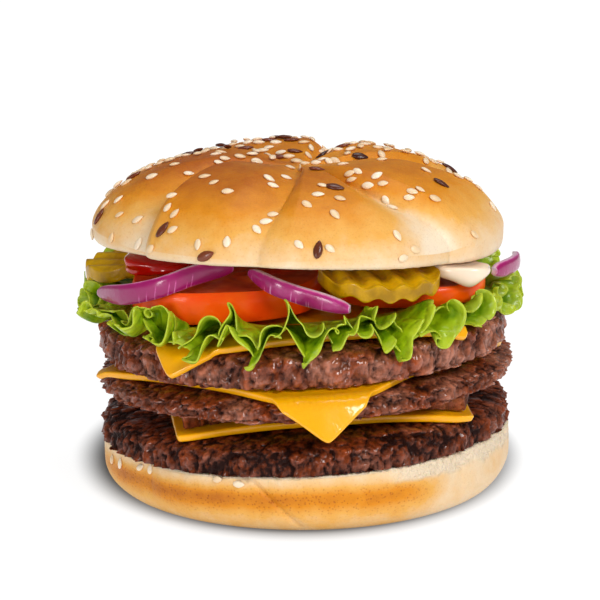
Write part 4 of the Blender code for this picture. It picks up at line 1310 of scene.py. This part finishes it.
class BURGER_OT_onions(bpy.types.Operator):
    """Makes the strips of red onion."""

    bl_idname = "burger.onions"
    bl_label = "Onions"

    def execute(self, context):
        material = onion_material(context.scene.burger_salad)
        rounds, steps = 36, 260
        draw = random.Random(5)
        turns = once_round(rounds, 0)
        side = np.sign(np.cos(turns)) * np.abs(np.cos(turns)) ** 0.5
        rise = np.sign(np.sin(turns)) * np.abs(np.sin(turns)) ** 0.4
        for (name, (points, height)), depth in zip(ONIONS.items(), ONION_DEPTHS):
            path = smooth_path(points, steps)
            middle = path[steps // 2]
            run = np.gradient(path, axis=0)
            out = np.stack([run[:, 1], -run[:, 0], 0 * run[:, 0]], axis=-1)
            out /= np.linalg.norm(out, axis=-1, keepdims=True)
            faces_out = 1 if np.dot(out[steps // 2], middle) > 0 else -1
            share = np.linspace(-1, 1, steps)
            fullness = 1 - 0.6 * share**4
            wall = ONION_WALL / 2 * (0.75 + 0.25 * fullness)
            bow = 0.35 * ONION_WALL / 2 * (1 - rise**2)
            rings = (
                path[:, None, :]
                + out[:, None, :] * (wall[:, None] * side[None, :] + bow[None, :])[..., None]
                + np.array([0, 0, 1]) * (fullness[:, None] * rise[None, :] * height / 2)[..., None]
            )
            outer = np.clip(side * faces_out, 0, 1) ** 0.5
            skin = np.where(side * faces_out > 0.35, 1 - 0.8 * np.abs(rise) ** 9, 0.22)
            skin = np.broadcast_to(skin * (0.6 + 0.4 * outer) * depth, (steps, rounds))
            skin = skin * (1 - 0.75 * np.abs(share[:, None]) ** 30)
            # Fine pale nicks run up from the lower edge
            for _ in range(9):
                place, tall = draw.uniform(-0.85, 0.5), draw.uniform(-0.6, 0.3)
                nick = np.exp(-(((share[:, None] - place - 0.02 * rise) / 0.007) ** 2))
                skin = skin * (1 - 0.7 * (nick * (1 - ease(tall, tall + 0.2, rise))))
            solid, faces = capped_rings(rings, path[0], path[-1])
            paint = {"skin": with_tips(skin, 0.15, 0.15)}
            add_piece(f"{name}_strip", settle(solid), faces, material, [name], paint, sharp=60)
        return {"FINISHED"}


# Sauces

def sauce_material(name, colour, radius, roughness):
    """An emulsion or puree: smooth, wet and glossy, with light soaking in a little way."""
    sauce = Surface(
        name, soak=(0.3, radius, 2), Roughness=roughness, IOR=1.45, Coat_Weight=0.5, Coat_Roughness=0.05
    )
    sauce.link(Base_Color=sauce.mix(sauce.cloud(3, 3), colour, shade_of(colour, (0.9, 0.9, 0.9))))
    return sauce.material


def blob(centre, half, seed, lumpy, boxy=1):
    """A soft drop of sauce: an ellipsoid, the boxier the lower boxy is, with flowing lumps."""
    rounds, steps = 96, 56
    turns = once_round(rounds, 0)
    angles = np.linspace(-math.pi / 2, math.pi / 2, steps + 2)[1:-1]
    rings = np.array([polar(math.cos(angle), turns, math.sin(angle)) for angle in angles])
    rings = np.sign(rings) * np.abs(rings) ** boxy
    rings = rings * (1 + lumpy * swell(rings, 0.8, seed)[..., None])
    points, faces = capped_rings(rings, np.array([0, 0, -1.0]), np.array([0, 0, 1.0]))
    return points * np.array(half) + np.array(centre), faces


class BURGER_OT_sauces(bpy.types.Operator):
    """Makes the drip of mayonnaise and the ketchup under the crown."""

    bl_idname = "burger.sauces"
    bl_label = "Sauces"

    def execute(self, context):
        looks = context.scene.burger_salad
        points, faces = blob(*MAYONNAISE, 4, 0.04, 0.72)
        # The drop gathers at its lowest point, and above that the sauce is pressed flat under the crown
        middle = MAYONNAISE[0][2]
        level = points[:, 2] - middle
        gathered = 0.5 + 0.54 * np.exp(-(((points[:, 0] - DROP_AT) / mm(4)) ** 2))
        points[:, 2] = middle + np.where(level < 0, level * gathered, level)
        points[:, 2] = bent_between(points[:, 2], mm(40), under_crown(points) - mm(0.2), mm(1))
        cream = sauce_material("Tinted mayonnaise", looks.mayonnaise, (1, 0.8, 0.6), 0.2)
        add_piece("mayonnaise_drip", settle(points), faces, cream, ["mayonnaise"])
        points, faces = blob(*KETCHUP, 9, 0.25)
        points[:, 2] = np.minimum(points[:, 2], under_crown(points) - mm(0.2))
        red = sauce_material("Tomato ketchup", looks.ketchup, (1, 0.2, 0.1), 0.15)
        add_piece("ketchup_smear", settle(points), faces, red, ())
        return {"FINISHED"}


# The studio

def add_light(name, place, side, power):
    """A square softbox that faces the stack."""
    data = bpy.data.lights.new(name, "AREA")
    data.shape = "SQUARE"
    data.size = side
    data.energy = power
    made = add_object(name, data)
    made.location = place
    made.rotation_euler = (Vector(AIM) - made.location).to_track_quat("-Z", "Y").to_euler()


def floor_material():
    """A white board that glows as if lit from below, as on a product table, with a painted shadow where the
    burger stands on it.
    """
    board = Surface("White light table", Roughness=0.9, Specular_IOR_Level=0, Emission_Color=(1, 1, 1, 1))

    def vector(operation, inputs, output=0):
        return add_node(board.tree, "ShaderNodeVectorMath", inputs, operation=operation).outputs[output]

    # Share of the way from the middle of the shaded patch to its edge
    moved = vector("ADD", {0: board.place, 1: mm(0, -PATCH_BEHIND, 0)})
    scaled = vector("MULTIPLY", {0: moved, 1: (1 / mm(PATCH_HALF[0]), 1 / mm(PATCH_HALF[1]), 0)})
    lit = board.spread(vector("LENGTH", {0: scaled}, "Value"), 0.86, 1.04, interpolation_type="SMOOTHSTEP")
    glow = board.spread(vector("LENGTH", {0: board.place}, "Value"), 0.15, 0.7, 0.92, 1)
    # Painted shadow: inside the patch the board doesn't glow and is a little darker grey
    board.link(
        Emission_Strength=board.times(lit, glow),
        Base_Color=board.mix(lit, linear("#6E6E70"), linear("#767676")),
    )
    return board.material


class BURGER_OT_stage(bpy.types.Operator):
    """Sets the camera, the white floor and the soft studio light."""

    bl_idname = "burger.stage"
    bl_label = "Stage"

    def execute(self, context):
        looks, scene = context.scene.burger_stage, context.scene
        data = bpy.data.cameras.new("camera")
        data.sensor_width = 36
        data.lens = FOCAL_PIXELS / PICTURE * data.sensor_width
        scene.camera = add_object("camera", data)
        scene.camera.location = camera_place()
        scene.camera.rotation_euler = (math.pi / 2 - CAMERA_ELEVATION, 0, 0)
        mesh = bpy.data.meshes.new("floor")
        half = FLOOR_SIDE / 2
        corners = [(-half, -half, 0), (half, -half, 0), (half, half, 0), (-half, half, 0)]
        mesh.from_pydata(corners, [], [(0, 1, 2, 3)])
        mesh.materials.append(floor_material())
        floor = add_object("floor", mesh)
        floor.location.z = -mm(0.05)
        for name, (place, side) in SOFTBOXES.items():
            add_light(name, place, side, getattr(looks, name))
        scene.world = bpy.data.worlds.new("white room")
        scene.world.use_nodes = True
        background = scene.world.node_tree.nodes["Background"].inputs
        background["Color"].default_value = (1, 1, 1, 1)
        background["Strength"].default_value = looks.room
        scene.view_settings.view_transform = "Standard"
        scene.view_settings.look = "None"
        return {"FINISHED"}


OPERATORS = (
    BURGER_OT_stage, BURGER_OT_heel, BURGER_OT_patties, BURGER_OT_cheese, BURGER_OT_lettuce,
    BURGER_OT_tomatoes, BURGER_OT_gherkins, BURGER_OT_onions, BURGER_OT_sauces, BURGER_OT_crown,
    BURGER_OT_seeds,
)


class BURGER_PT_pieces(bpy.types.Panel):
    """Lists the burger's pieces in the sidebar."""

    bl_idname = "BURGER_PT_pieces"
    bl_label = "Triple cheeseburger"
    bl_space_type = "VIEW_3D"
    bl_region_type = "UI"
    bl_category = "Burger"

    def draw(self, context):
        for operator in OPERATORS:
            self.layout.operator(operator.bl_idname)


GROUPS = {
    "burger_roll": RollLooks,
    "burger_filling": FillingLooks,
    "burger_salad": SaladLooks,
    "burger_stage": StageLooks,
}


def register():
    for label, group in GROUPS.items():
        bpy.utils.register_class(group)
        setattr(bpy.types.Scene, label, bpy.props.PointerProperty(type=group))
    for operator in OPERATORS:
        bpy.utils.register_class(operator)
    bpy.utils.register_class(BURGER_PT_pieces)


def unregister():
    bpy.utils.unregister_class(BURGER_PT_pieces)
    for operator in reversed(OPERATORS):
        bpy.utils.unregister_class(operator)
    for label, group in reversed(GROUPS.items()):
        delattr(bpy.types.Scene, label)
        bpy.utils.unregister_class(group)


def main():
    register()
    for operator in OPERATORS:
        getattr(bpy.ops.burger, operator.bl_idname.removeprefix("burger."))()


if __name__ == "__main__":
    main()
